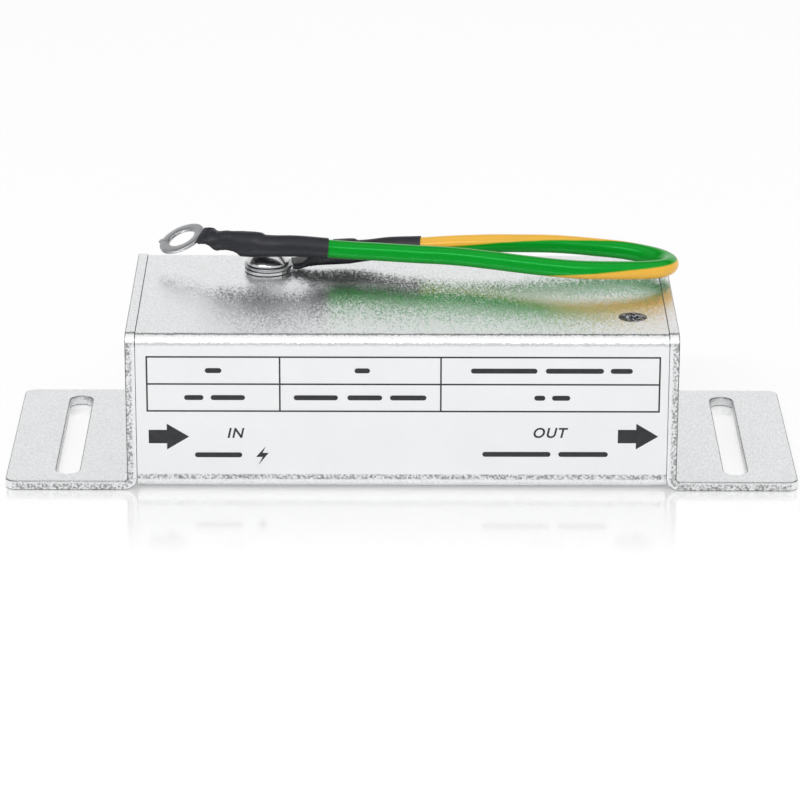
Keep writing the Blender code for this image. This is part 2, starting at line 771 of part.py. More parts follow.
def lug(name, frame, bend, stub_length):
    """Ring, neck and barrel from one strip of tinned copper."""
    ring = lug_ring / 2
    spread = math.degrees(math.asin(lug_neck / 2 / ring))
    across = 12
    angles = list(np.linspace(-spread, spread, across + 1))
    stub = math.degrees(lug_nub_width / 2 / ring)
    quarter = list(np.linspace(spread, 180 - 1.5 * stub, 10)[1:]) + [180 - 0.8 * stub]
    angles += quarter + [180] + [360 - a for a in quarter[::-1]]
    shape = bmesh.new()

    def loop(radius, nub=0):
        return [shape.verts.new(((radius + nub * (abs(a - 180) < stub)) * math.cos(math.radians(a)),
                                 (radius + nub * (abs(a - 180) < stub)) * math.sin(math.radians(a)),
                                 0)) for a in angles]

    hole, rim = loop(lug_hole / 2), loop(ring, stub_length)
    for i in range(len(angles)):
        j = (i + 1) % len(angles)
        shape.faces.new((hole[i], rim[i], rim[j], hole[j]))
    last = rim[:across + 1]
    for u in lug_rows():
        half = lug_half_width(u)
        row = [shape.verts.new(lug_point(u, v, bend)) for v in np.linspace(-half, half, across + 1)]
        for i in range(across):
            shape.faces.new((last[i], row[i], row[i + 1], last[i + 1]))
        last = row
    bmesh.ops.recalc_face_normals(shape, faces=shape.faces)
    item = piece(name, shape, tin, frame)
    skin = item.modifiers.new("strip", "SOLIDIFY")
    skin.thickness = lug_sheet
    skin.offset = 0
    return item


def axes(origin, along, up):
    """A frame from its origin, its X axis and a direction near its Z axis."""
    x = Vector(along).normalized()
    z = Vector(up)
    z = (z - x * z.dot(x)).normalized()
    y = z.cross(x)
    frame = Matrix((x, y, z)).transposed().to_4x4()
    frame.translation = Vector(origin)
    return frame


# Lead and sleeves

def lead_curve(samples):
    """The lead's centre line, face to face with the two barrels at its ends."""
    first, last = [[frame @ lug_mouth_line(lug_end + lead_end_gap + past, bend)
                    for past in (0, 1.8 * mm)]
                   for frame, bend in ((screw_lug_frame, screw_lug_bend),
                                       (free_lug_frame, free_lug_bend))]
    between = [top_at + Vector(point) * mm for point in lead_route]
    return smooth_curve(np.array(first + between + last[::-1]), samples)


def lead():
    points = lead_curve(lead_samples)
    curve = bpy.data.curves.new("earth_lead", "CURVE")
    curve.dimensions = "3D"
    curve.bevel_depth = lead_diameter / 2
    curve.bevel_resolution = 2
    curve.use_fill_caps = True
    curve.render_resolution_u = 0
    spline = curve.splines.new("POLY")
    spline.points.add(len(points) - 1)
    for point, place in zip(spline.points, points):
        point.co = (*place, 1)
    curve.materials.append(lead_green)
    item = bpy.data.objects.new("earth_lead", curve)
    bpy.context.collection.objects.link(item)
    return item


def sleeve(name, frame, bend, from_start):
    """A shrunk sleeve drawn tight over the lug's neck and barrel and on along the lead."""
    inner, outer = [], []
    base = frame.to_3x3()
    for u in lug_rows():
        angle = lug_bend_angle(u, bend)
        x, z = lug_line(u, bend)
        up = base @ Vector((-math.sin(angle), 0, math.cos(angle)))
        half = lug_half_width(u)
        section = [lug_section(u, v) for v in np.linspace(-half, half, 13)]
        place = (frame @ Vector((x, 0, z)), base @ Vector((0, 1, 0)), up)
        inner.append(sleeve_ring(*place, section, lug_sheet / 2 + sleeve_gap))
        outer.append(sleeve_ring(*place, section, lug_sheet / 2 + sleeve_gap + sleeve_wall))
    points = lead_curve(400)
    points = points if from_start else points[::-1]
    run = np.r_[0, np.cumsum(np.linalg.norm(np.diff(points, axis=0), axis=1))]
    for s in np.linspace(0.5 * mm, sleeve_length, 10):
        at, ahead = [Vector([float(np.interp(s + past, run, points[:, axis])) for axis in range(3)])
                     for past in (0, 0.2 * mm)]
        along = (ahead - at).normalized()
        side = base @ Vector((0, 1, 0))
        across = (side - along * side.dot(along)).normalized()
        place = (at, across, along.cross(across))
        inner.append(sleeve_ring(*place, [(0, 0)], lead_diameter / 2 + sleeve_gap))
        outer.append(sleeve_ring(*place, [(0, 0)], lead_diameter / 2 + sleeve_gap + sleeve_wall))
    return piece(name, tube_shell(outer, inner), sleeve_black, smooth=60)


def sleeve_ring(at, across, up, section, reach):
    """The line that a tight sleeve makes round a section, standing off it by the reach."""
    count = 16
    angles = np.linspace(0, 2 * math.pi, count, endpoint=False)
    facing = np.column_stack([np.cos(angles), np.sin(angles)])
    height = (facing @ np.array(section).T).max(axis=1) + reach
    turn = angles[1]
    shift = (np.roll(height, -1) - height * math.cos(turn)) / math.sin(turn)
    flat = facing * height[:, None] + np.column_stack([-facing[:, 1], facing[:, 0]]) * shift[:, None]
    return [at + across * float(a) + up * float(b) for a, b in flat]


def tube_shell(outer, inner):
    """A tube with an outer and an inner wall through matching rings of points."""
    shape = bmesh.new()
    outer, inner = [[[shape.verts.new(point) for point in ring] for ring in wall]
                    for wall in (outer, inner)]
    chain = outer + inner[::-1] + [outer[0]]
    for one, two in zip(chain, chain[1:]):
        for i in range(len(one)):
            j = (i + 1) % len(one)
            shape.faces.new((one[i], one[j], two[j], two[i]))
    bmesh.ops.recalc_face_normals(shape, faces=shape.faces)
    return shape


housing()
end_plate("end_plate_in", -1)
end_plate("end_plate_out", 1)
flat_screws()
circuit_board()
jacks()
gas_tubes()
chips("diode_array", array_size, array_places)
chips("clamp_diode", clamp_size, clamp_places)
post("earth_post", polygon(post_flats, 6), earth_at, earth_shank / 2 + seat, 10 * mm)
post("support_post", circle(support_post / 2, 16), flush_screw_at, flat_shank / 2 + seat, 8 * mm)
washer()
earth_screw()
turn = math.radians(screw_lug_turn)
screw_lug_frame = (Matrix.Translation((*earth_at, lug_z)) @ Matrix.Rotation(turn, 4, "Z")
                   @ Matrix.Translation((screw_lug_shift, 0, 0)))
free_lug_frame = axes(top_at + Vector(free_lug_centre), free_lug_along, free_lug_up)
lug("lug_at_screw", screw_lug_frame, screw_lug_bend, 0)
lug("lug_free", free_lug_frame, free_lug_bend, lug_nub)
lead()
sleeve("sleeve_at_screw", screw_lug_frame, screw_lug_bend, True)
sleeve("sleeve_free", free_lug_frame, free_lug_bend, False)
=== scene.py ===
# Studio view of an ethernet surge protector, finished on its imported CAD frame
import math

import bmesh
import bpy
import numpy as np
from mathutils import Matrix, Vector


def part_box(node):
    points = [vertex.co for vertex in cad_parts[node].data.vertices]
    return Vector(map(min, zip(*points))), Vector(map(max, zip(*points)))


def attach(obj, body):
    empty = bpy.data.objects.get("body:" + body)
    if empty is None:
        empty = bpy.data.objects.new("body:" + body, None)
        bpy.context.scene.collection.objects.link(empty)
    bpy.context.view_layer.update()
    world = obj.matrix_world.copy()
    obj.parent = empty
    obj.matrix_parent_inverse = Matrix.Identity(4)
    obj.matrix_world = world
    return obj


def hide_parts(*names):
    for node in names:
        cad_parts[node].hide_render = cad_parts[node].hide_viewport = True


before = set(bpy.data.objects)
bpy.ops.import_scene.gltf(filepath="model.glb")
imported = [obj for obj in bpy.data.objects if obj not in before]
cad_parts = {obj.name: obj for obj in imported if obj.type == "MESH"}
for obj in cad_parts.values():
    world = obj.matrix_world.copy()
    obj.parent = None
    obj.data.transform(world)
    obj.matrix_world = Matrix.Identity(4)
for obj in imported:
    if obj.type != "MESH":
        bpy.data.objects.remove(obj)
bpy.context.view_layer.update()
mm = 0.001
print("frame loaded:", len(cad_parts), "nodes")


# Helpers

def linear(hexColour):
    # sRGB hex to linear light, channel by channel
    parts = [int(hexColour[i:i + 2], 16) / 255 for i in (0, 2, 4)]
    return tuple(c / 12.92 if c <= 0.04045 else ((c + 0.055) / 1.055) ** 2.4 for c in parts) + (1,)


def setInputs(tree, node, inputs):
    # values or links on a node's inputs
    for key, value in inputs.items():
        if isinstance(value, bpy.types.NodeSocket):
            tree.links.new(value, node.inputs[key])
        else:
            node.inputs[key].default_value = value


def addNode(tree, kind, inputs=None, **settings):
    # one node, with its settings first and then its inputs
    node = tree.nodes.new("ShaderNode" + kind)
    for key, value in settings.items():
        setattr(node, key, value)
    setInputs(tree, node, inputs or {})
    return node


def newMaterial(name):
    # a material, its node tree and the principled shader in it
    material = bpy.data.materials.new(name)
    material.use_nodes = True
    tree = material.node_tree
    return material, tree, tree.nodes["Principled BSDF"]


def setRamp(node, stops, interpolation="LINEAR"):
    # stops are (place, hex colour) pairs from left to right
    ramp = node.color_ramp
    ramp.interpolation = interpolation
    while len(ramp.elements) < len(stops):
        ramp.elements.new(0.5)
    for element, (place, colour) in zip(ramp.elements, stops):
        element.position = place
        element.color = linear(colour)
    return node


def noise(tree, vector, scale, detail):
    # cloud noise with so many waves to the metre
    return addNode(tree, "TexNoise", {"Vector": vector, "Scale": scale,
                                      "Detail": detail}).outputs["Fac"]


def maths(tree, operation, *values, kind="Math"):
    # one step of arithmetic on numbers, vectors or links
    return addNode(tree, kind, dict(enumerate(values)), operation=operation).outputs[0]


def ranged(tree, value, low, high, start=0.0, end=1.0):
    # carries start to low and end to high in a straight line, held level beyond them
    return addNode(tree, "MapRange", {"Value": value, "From Min": start, "From Max": end,
                                      "To Min": low, "To Max": high}).outputs[0]


def bumped(tree, height, strength, distance):
    # the normal of a surface raised by the height, up to a distance in mm
    return addNode(tree, "Bump", {"Height": height, "Strength": strength,
                                  "Distance": distance * mm}).outputs[0]


def mottled(name, scale, detail, tones, stops=(0.3, 0.7)):
    # a material whose tone follows cloud noise from one colour to another between the stops
    material, tree, shader = newMaterial(name)
    place = addNode(tree, "TexCoord").outputs["Object"]
    cloud = noise(tree, place, scale, detail)
    tone = setRamp(addNode(tree, "ValToRGB", {"Fac": cloud}), list(zip(stops, tones)))
    tree.links.new(tone.outputs["Color"], shader.inputs["Base Color"])
    return material, tree, shader, cloud


def makeMesh(name, points, faces, smooth=40):
    # a mesh from an array of points and an array of faces, smooth but for its sharp edges
    mesh = bpy.data.meshes.new(name)
    mesh.from_pydata(np.asarray(points).tolist(), [], np.asarray(faces).tolist())
    mesh.validate()
    mesh.shade_smooth()
    mesh.set_sharp_from_angle(angle=math.radians(smooth))
    return mesh


def placePiece(name, mesh, material, slot, *nodes):
    # a finished piece at the origin that rides on the body and stands for its CAD nodes
    piece = bpy.data.objects.new(name, mesh)
    bpy.context.collection.objects.link(piece)
    mesh.materials.clear()
    mesh.materials.append(material)
    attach(piece, "root")
    if nodes:
        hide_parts(*nodes)
    return piece


def gridFaces(rows, columns, closeRows=False, closeColumns=True):
    # quads between neighbours of a rows by columns grid, wrapped round where it closes
    i = np.arange(rows if closeRows else rows - 1)
    j = np.arange(columns if closeColumns else columns - 1)
    a, b = np.meshgrid(i, j, indexing="ij")
    c, d = (a + 1) % rows, (b + 1) % columns
    return np.stack([a * columns + b, a * columns + d, c * columns + d, c * columns + b],
                    axis=-1).reshape(-1, 4)


def smoothRise(value, start, end):
    # 0 before start, 1 after end, with an even S between them
    t = np.clip((np.asarray(value, float) - start) / (end - start), 0, 1)
    return t * t * (3 - 2 * t)


def unit(vectors):
    # each vector divided by its length
    return vectors / np.linalg.norm(vectors, axis=-1, keepdims=True)


def writeAttribute(mesh, name, values):
    # one number for each vertex, which the materials read
    layer = mesh.attributes.new(name, "FLOAT", "POINT")
    layer.data.foreach_set("value", np.asarray(values, np.float32).ravel())


# Camera, at the photograph's angle

cameraSet = {
    "place": (-2.3, -733.4, 284.2),  # mm, in the row frame
    "pitch": 20.59,                  # degrees below the horizon
    "turn": -0.155,
    "roll": 0.169,
    "lens": 188.7,                   # mm on a 36 mm sensor
}


def addCamera():
    # turned about Z, raised from straight down by 90 degrees less its pitch, then rolled
    camera = bpy.data.cameras.new("camera")
    camera.lens = cameraSet["lens"]
    camera.sensor_width = 36
    camera.clip_start = 0.02
    camera.clip_end = 20
    item = bpy.data.objects.new("camera", camera)
    bpy.context.collection.objects.link(item)
    turn, tilt, roll = [math.radians(a) for a in (cameraSet["turn"], 90 - cameraSet["pitch"],
                                                  cameraSet["roll"])]
    item.matrix_world = (Matrix.Translation(Vector(cameraSet["place"]) * mm)
                         @ Matrix.Rotation(turn, 4, "Z") @ Matrix.Rotation(tilt, 4, "X")
                         @ Matrix.Rotation(roll, 4, "Z"))
    bpy.context.scene.camera = item


addCamera()


# Earth lead: its route is the CAD lead's own, in mm

leadSet = {
    "diameter": 3.4,
    "around": 48,
    "step": 0.7,                     # mm between rings
    "stripeWidth": 118,              # degrees of the lead's girth
    "sleeveLength": 13.3,
    "endRound": 0.12, "endShare": 0.93,  # each end stands out by so much and narrows to this
}
lugSet = {
    "sheet": 0.6, "ring": 9.0, "hole": 5.2, "neck": 3.3, "bendStart": 4.5,
    "curlStart": 5.7, "curlEnd": 8.3, "flareStart": 11.2, "flareEnd": 12.5, "end": 15.5,
    "wireGrip": 1.05, "coverGrip": 1.6, "seam": 0.4, "corner": 0.16,
    "stripStart": 3.6, "stripInset": 0.01,  # the strip begins inside the ring, a little thinner
    "nub": 0.6, "nubSpan": (0.12, 0.06),    # radians from the ring's far side
    "earthAt": (-25.2, 13.5, 30.85),  # middle of the lug's sheet on the earth screw's axis
    "earthTurn": 6.3, "earthShift": 0.17, "earthBend": 1.5,
    "freeAt": (-41.35, 15.36, 35.22), "freeAlong": (0.858, -0.437, 0.269),
    "freeUp": (0.377, 0.181, -0.909), "freeBend": 12.2,
}
leadRoute = np.array([
    (-3.2, 14.8, 33.65), (3.4, 13.9, 34.3), (8.9, 13.45, 34.8), (13.7, 13.45, 35),
    (17.5, 13.75, 35), (21.8, 14, 34.9), (28.2, 14.95, 34.5), (33.1, 15.15, 34.1),
    (37.5, 15.25, 33.65), (41.7, 15, 33.25), (45.3, 13.7, 33), (48.3, 11.3, 33),
    (49.9, 7.8, 33.1), (48.7, 4.5, 33.35), (45.8, 2.8, 33.5), (42, 1.9, 33.7),
    (37.5, 1.2, 33.95), (32.5, 1, 34.15), (27, 1.8, 34.35), (21.5, 3.3, 34.5), (15, 5.2, 34.7),
    (8.8, 6.8, 34.8), (2, 7.7, 34.87), (-3.7, 8.9, 34.83), (-11.4, 10, 34.92),
    (-17, 9.6, 35.55), (-21, 8.95, 35.95),
])


def bodyAxes(origin, along, up):
    # 4 by 4 frame with X along and Z near up
    x = unit(np.array(along, float))
    z = np.array(up, float)
    z = unit(z - x * (z @ x))
    turn = np.eye(4)
    turn[:3, 0], turn[:3, 1], turn[:3, 2], turn[:3, 3] = x, np.cross(z, x), z, origin
    return turn


def earthLugAxes():
    # the ring on its screw, turned and drawn towards the lead
    turn = math.radians(lugSet["earthTurn"])
    along = np.array((math.cos(turn), math.sin(turn), 0))
    return bodyAxes(np.array(lugSet["earthAt"]) + along * lugSet["earthShift"], along, (0, 0, 1))


def freeLugAxes():
    # the free ring, tilted as it stands in the air
    return bodyAxes(lugSet["freeAt"], lugSet["freeAlong"], lugSet["freeUp"])


def bendAngle(u, bend):
    # the strip's slope at u: its bend, reached in an even S before the curl starts
    return math.radians(bend) * smoothRise(u, lugSet["bendStart"], lugSet["curlStart"])


def stripLine(u, bend):
    # the strip's middle line: the sum of short steps along its angle
    u = np.atleast_1d(u)
    share = (np.arange(60) + 0.5) / 60
    angle = bendAngle(u[:, None] * share, bend)
    return (np.cos(angle).mean(axis=1) * u, np.sin(angle).mean(axis=1) * u)


def gripRadius(u):
    # radius of the curled strip's middle, from the wire's to the cover's over the flare
    return (lugSet["wireGrip"] + (lugSet["coverGrip"] - lugSet["wireGrip"])
            * smoothRise(u, lugSet["flareStart"], lugSet["flareEnd"]))


def curlOf(u):
    # curvature of the strip's cross section, 0 while it is flat
    return np.maximum(smoothRise(u, lugSet["curlStart"], lugSet["curlEnd"]), 1e-4) / gripRadius(u)


def halfWidth(u):
    # from the neck's half width to half the barrel's girth less its seam
    full = 2 * math.pi * gripRadius(u) - lugSet["seam"]
    curl = smoothRise(u, lugSet["curlStart"], lugSet["curlEnd"]) ** 3
    return (lugSet["neck"] + (full - lugSet["neck"]) * curl) / 2


def mouthLine(u, bend):
    # centre line of the barrel's wide mouth, in the lug's own axes
    x, z = stripLine(u, bend)
    angle = bendAngle(np.atleast_1d(u), bend)
    grip = lugSet["coverGrip"]
    return np.column_stack([x - grip * np.sin(angle), 0 * x, z + grip * np.cos(angle)])


def placed(axes, points):
    # points carried from a piece's own axes to the frame's
    return points @ axes[:3, :3].T + axes[:3, 3]


def naturalCurve(points, samples):
    # a natural cubic curve through the points, read at even steps of its length
    chord = np.r_[0, np.cumsum(np.linalg.norm(np.diff(points, axis=0), axis=1))]
    h = np.diff(chord)
    n = len(points)
    system = np.eye(n)
    right = np.zeros_like(points)
    for i in range(1, n - 1):
        system[i, i - 1:i + 2] = h[i - 1], 2 * (h[i - 1] + h[i]), h[i]
        right[i] = 6 * ((points[i + 1] - points[i]) / h[i] - (points[i] - points[i - 1]) / h[i - 1])
    bend = np.linalg.solve(system, right)
    fine = np.linspace(0, chord[-1], 3000)
    k = np.clip(np.searchsorted(chord, fine, side="right") - 1, 0, n - 2)
    step = h[k][:, None]
    ahead = (chord[k + 1] - fine)[:, None]
    past = (fine - chord[k])[:, None]
    curve = ((bend[k] * ahead ** 3 + bend[k + 1] * past ** 3) / (6 * step)
             + (points[k] / step - bend[k] * step / 6) * ahead
             + (points[k + 1] / step - bend[k + 1] * step / 6) * past)
    run = np.r_[0, np.cumsum(np.linalg.norm(np.diff(curve, axis=0), axis=1))]
    even = np.linspace(0, run[-1], samples)
    return np.column_stack([np.interp(even, run, curve[:, a]) for a in range(3)]), run[-1]


def leadLine(samples):
    # from the earth lug's mouth round to the free lug's
    ends = []
    for axes, bend in ((earthLugAxes(), lugSet["earthBend"]), (freeLugAxes(), lugSet["freeBend"])):
        reach = lugSet["end"] + 0.3 + np.array([0, 1.8])
        ends.append(placed(axes, mouthLine(reach, bend)))
    points = np.vstack([ends[0], leadRoute, ends[1][::-1]])
    return naturalCurve(points, samples)


def leadFrames(line):
    # at each point: the way along, up square to it, and the side that lies inside the loop
    along = unit(np.gradient(line, axis=0))
    up = np.array([0, 0, 1.0]) - along * along[:, 2:3]
    up = unit(up)
    return along, up, np.cross(along, up)


def stripeStart(share):
    # where the yellow begins, in degrees from the top towards the loop's outside
    places = (0, 0.147, 0.177, 0.2, 0.242, 0.262, 0.292, 0.316, 0.361, 0.43, 0.497, 0.519, 0.541,
              0.576, 0.603, 0.624, 0.68, 0.76, 1)
    turns = (-92, -82, -74, -65, -54, -49, -39, -25, 0, 48, 64, 74, 86, 105, 125, 150, 180, 198,
             212)
    return np.interp(share, places, turns)


def leadMesh():
    # rings of points about the route; both ends are rounded over and closed
    length = leadLine(400)[1]
    count = int(length / leadSet["step"])
    line, length = leadLine(count)
    along, up, inside = leadFrames(line)
    turns = np.linspace(0, 2 * math.pi, leadSet["around"], endpoint=False)
    spokes = (np.cos(turns)[None, :, None] * up[:, None]
              - np.sin(turns)[None, :, None] * inside[:, None])
    rings = line[:, None] + spokes * (leadSet["diameter"] / 2)
    first, last = [line[k] + along[k] * (side * leadSet["endRound"])
                   + (rings[k] - line[k]) * leadSet["endShare"] for k, side in ((0, -1), (-1, 1))]
    rings = np.concatenate([first[None], rings, last[None]])
    centres = np.array([first.mean(axis=0), last.mean(axis=0)])
    rows, columns = rings.shape[:2]
    faces = gridFaces(rows, columns).tolist()
    base = rows * columns
    j = np.arange(columns)
    caps = [(base, int((a + 1) % columns), int(a)) for a in j]
    far = base - columns
    caps += [(base + 1, int(far + a), int(far + (a + 1) % columns)) for a in j]
    mesh = bpy.data.meshes.new("earthLead")
    points = np.vstack([rings.reshape(-1, 3), centres]) * mm
    mesh.from_pydata(points.tolist(), [], faces + caps)
    mesh.shade_smooth()
    mesh.set_sharp_from_angle(angle=math.radians(50))
    share = np.r_[0, np.linspace(0, 1, count), 1]
    middle = stripeStart(share) + leadSet["stripeWidth"] / 2
    off = (np.degrees(turns)[None] - middle[:, None] + 180) % 360 - 180
    writeAttribute(mesh, "stripe", np.r_[np.abs(off).ravel(), 180, 180])
    writeAttribute(mesh, "along", np.r_[np.repeat(share * length, columns), 0, length])
    return mesh, line, length


# Materials

def pvcLead():
    # PVC lead, extruded in two colours: a smooth soft gloss, with a slightly blurred border
    material, tree, shader = newMaterial("extruded PVC, green and yellow")
    stripe = addNode(tree, "Attribute", attribute_name="stripe").outputs["Fac"]
    along = addNode(tree, "Attribute", attribute_name="along").outputs["Fac"]
    # degrees from the stripe's middle, swaying a little along the lead
    drift = addNode(tree, "TexNoise", {"W": along, "Scale": 0.12, "Detail": 2},
                    noise_dimensions="1D")
    edge = maths(tree, "ADD", stripe, maths(tree, "MULTIPLY", drift.outputs["Fac"], 8.0))
    band = ranged(tree, edge, 0.0, 1.0, 56.0, 70.0)
    tone = setRamp(addNode(tree, "ValToRGB", {"Fac": band}),
                   [(0.0, "e8b244"), (0.45, "bca42a"), (0.62, "4c941e"), (1.0, "008e1e")])
    place = addNode(tree, "TexCoord").outputs["Object"]
    cloud = noise(tree, place, 260.0, 3)
    colour = addNode(tree, "Mix", {0: 1.0, "A": tone.outputs["Color"],
                                   "B": ranged(tree, cloud, 0.93, 1.07)},
                     data_type="RGBA", blend_type="MULTIPLY")
    # the pigment tints the gloss
    tint = setRamp(addNode(tree, "ValToRGB", {"Fac": band}), [(0.0, "fff0b0"), (1.0, "70ffa0")])
    setInputs(tree, shader, {"Base Color": colour.outputs["Result"],
                             "Roughness": ranged(tree, cloud, 0.2, 0.26),
                             "Normal": bumped(tree, noise(tree, place, 1400.0, 2), 0.05, 0.05),
                             "Specular Tint": tint.outputs["Color"], "IOR": 1.53})
    return material


def shrunkSleeve():
    # shrunk polyolefin: near black, with a satin sheen on a soft uneven skin
    material, tree, shader, cloud = mottled("shrunk polyolefin sleeve", 420.0, 4,
                                            ("14151b", "1c1d25"))
    setInputs(tree, shader, {"Roughness": ranged(tree, cloud, 0.38, 0.52),
                             "Normal": bumped(tree, cloud, 0.25, 0.05),
                             "IOR": 1.5, "Specular IOR Level": 0.4})
    return material


blastSet = {
    "tone": "ecedee",
    "grit": 3200.0, "drawn": (1, 0.38, 1),  # marks of about 0.3 mm, drawn out front to back
    "facets": 0.24,                  # how far a mark leans: 2 degrees or so
    "grain": (-0.08, 0.05),          # what the marks take from the tone or add to it
    "rough": (0.285, 0.31),
    "worn": 0.4,                     # tone left along a broken edge
    "rubbed": (3.3, 27.7, -23.75),   # lower and upper end and face of the rubbed front, mm
    "sheet": (48.2, 2.4, 24.0),      # the plates' inner face, outer bend and edge faces, mm
}


def pitted(tree, place, where, scale, deep, span):
    # share of the tone: pits from noise where the mask stands, 1 elsewhere
    pits = ranged(tree, noise(tree, place, scale, 1), *deep, *span)
    return addNode(tree, "Mix", {0: where, 2: 1.0, 3: pits}, data_type="FLOAT").outputs[0]


def rubbedFront(tree, place, split):
    # The front between two heights was rubbed smooth before it was printed: the grit left is 1
    # less the product of three rises. Below the rubbed part a thin line is darker and pitted.
    low, high, face = [v * mm for v in blastSet["rubbed"]]
    rise = ranged(tree, split["Z"], 0.0, 1.0, low - 0.15 * mm, low + 0.15 * mm)
    fall = ranged(tree, split["Z"], 0.0, 1.0, high + 0.5 * mm, high - 0.3 * mm)
    there = ranged(tree, split["Y"], 0.0, 1.0, face + 0.08 * mm, face + 0.03 * mm)
    mask = maths(tree, "MULTIPLY", maths(tree, "MULTIPLY", rise, fall), there)
    off = maths(tree, "ABSOLUTE", maths(tree, "ADD", split["Z"], -(low - 0.65 * mm)))
    line = ranged(tree, off, 0.0, 1.0, 0.6 * mm, 0.35 * mm)
    return (ranged(tree, mask, 1.0, 0.0),
            pitted(tree, place, line, 2300.0, (0.35, 0.95), (0.36, 0.64)))


def tornEdge(tree, place, split, grit):
    # Sheared edge of the sheet: smooth next its outer side, torn and darker beyond. The distance
    # in from that side is the bend's radius less the distance from the bend's centre.
    inner, bend, face = [v * mm for v in blastSet["sheet"]]
    width = maths(tree, "ABSOLUTE", split["X"])
    shortX = maths(tree, "MAXIMUM", maths(tree, "SUBTRACT", inner + bend, width), 0.0)
    shortZ = maths(tree, "MAXIMUM", maths(tree, "SUBTRACT", bend, split["Z"]), 0.0)
    total = maths(tree, "ADD", maths(tree, "POWER", shortX, 2.0), maths(tree, "POWER", shortZ, 2.0))
    inFrom = maths(tree, "SUBTRACT", bend, maths(tree, "SQRT", total))
    rag = ranged(tree, grit, -0.35 * mm, 0.35 * mm)
    # on the foot it is the other way about: the smooth part lies along the top
    foot = ranged(tree, width, 0.0, 1.0, inner + 1.6 * mm, inner + 2.6 * mm)
    other = maths(tree, "SUBTRACT", 2.0 * mm, inFrom)
    inside = addNode(tree, "Mix", {0: foot, 2: inFrom, 3: other}, data_type="FLOAT").outputs[0]
    torn = ranged(tree, maths(tree, "ADD", inside, rag), 0.0, 1.0, 0.55 * mm, 0.75 * mm)
    there = ranged(tree, maths(tree, "ABSOLUTE", split["Y"]), 0.0, 1.0,
                   face - 0.2 * mm, face - 0.12 * mm)
    return pitted(tree, place, maths(tree, "MULTIPLY", torn, there), 2600.0,
                  (0.38, 0.98), (0.36, 0.62))


def blastedAluminium(name, isRubbed):
    # aluminium, bead blasted and clear anodised: pale, satin, with a fine even sparkle
    material, tree, shader = newMaterial(name)
    place = addNode(tree, "TexCoord").outputs["Object"]
    split = addNode(tree, "SeparateXYZ", {0: place}).outputs
    drawn = addNode(tree, "Mapping", {"Vector": place, "Scale": blastSet["drawn"]})
    grit = addNode(tree, "TexNoise", {"Vector": drawn.outputs[0], "Scale": blastSet["grit"],
                                      "Detail": 0}).outputs
    if isRubbed:
        amount, dark = rubbedFront(tree, place, split)
    else:
        amount, dark = 1.0, tornEdge(tree, place, split, grit["Fac"])
    tone = maths(tree, "MULTIPLY", ranged(tree, noise(tree, place, 120.0, 3), 0.97, 1.03), dark)
    # the broken edges: a thin darker line along each, as much as the arris share says
    arris = addNode(tree, "Attribute", attribute_name="arris").outputs["Fac"]
    tone = maths(tree, "MULTIPLY", tone, ranged(tree, arris, 1.0, blastSet["worn"]))
    grain = ranged(tree, grit["Fac"], *blastSet["grain"], 0.3, 0.7)
    shade = maths(tree, "ADD", tone, maths(tree, "MULTIPLY", grain, amount))
    colour = addNode(tree, "Mix", {0: 1.0, "A": linear(blastSet["tone"]), "B": shade},
                     data_type="RGBA", blend_type="MULTIPLY")
    # each mark leans its own way: the normal plus a share of the noise's colour less a half
    lean = maths(tree, "SUBTRACT", grit["Color"], (0.5, 0.5, 0.5), kind="VectorMath")
    part = addNode(tree, "VectorMath",
                   {0: lean, "Scale": maths(tree, "MULTIPLY", amount, blastSet["facets"])},
                   operation="SCALE").outputs[0]
    face = addNode(tree, "NewGeometry").outputs["Normal"]
    leaning = maths(tree, "ADD", face, part, kind="VectorMath")
    setInputs(tree, shader, {"Base Color": colour.outputs["Result"], "Metallic": 1.0,
                             "Roughness": ranged(tree, grit["Fac"], *blastSet["rough"], 0.3, 0.7),
                             "Normal": maths(tree, "NORMALIZE", leaning, kind="VectorMath")})
    return material


def plainMetal(name, tones, rough, scale, bumpStrength, stops=(0.3, 0.7)):
    # a metal with a fine mottle between two tones and a roughness that follows it;
    # the closer the stops, the harder the mottle's edges
    material, tree, shader, cloud = mottled(name, scale, 4, tones, stops)
    setInputs(tree, shader, {"Roughness": ranged(tree, cloud, *rough, 0.3, 0.7), "Metallic": 1.0,
                             "Normal": bumped(tree, cloud, bumpStrength, 0.03)})
    return material


def mouldedPlastic(name, tones, rough, scale, ior):
    # an opaque moulding: a fine spark-eroded grain that breaks its gloss
    material, tree, shader, grain = mottled(name, scale, 3, tones)
    setInputs(tree, shader, {"Roughness": ranged(tree, grain, *rough), "IOR": ior,
                             "Normal": bumped(tree, grain, 0.2, 0.03)})
    return material


def printInk():
    # screen printed epoxy ink: near black, thin, slightly uneven where the mesh laid it
    material, tree, shader, weave = mottled("screen print ink, black", 900.0, 3,
                                            ("141517", "222326"))
    shader.inputs["Roughness"].default_value = 0.45
    return material


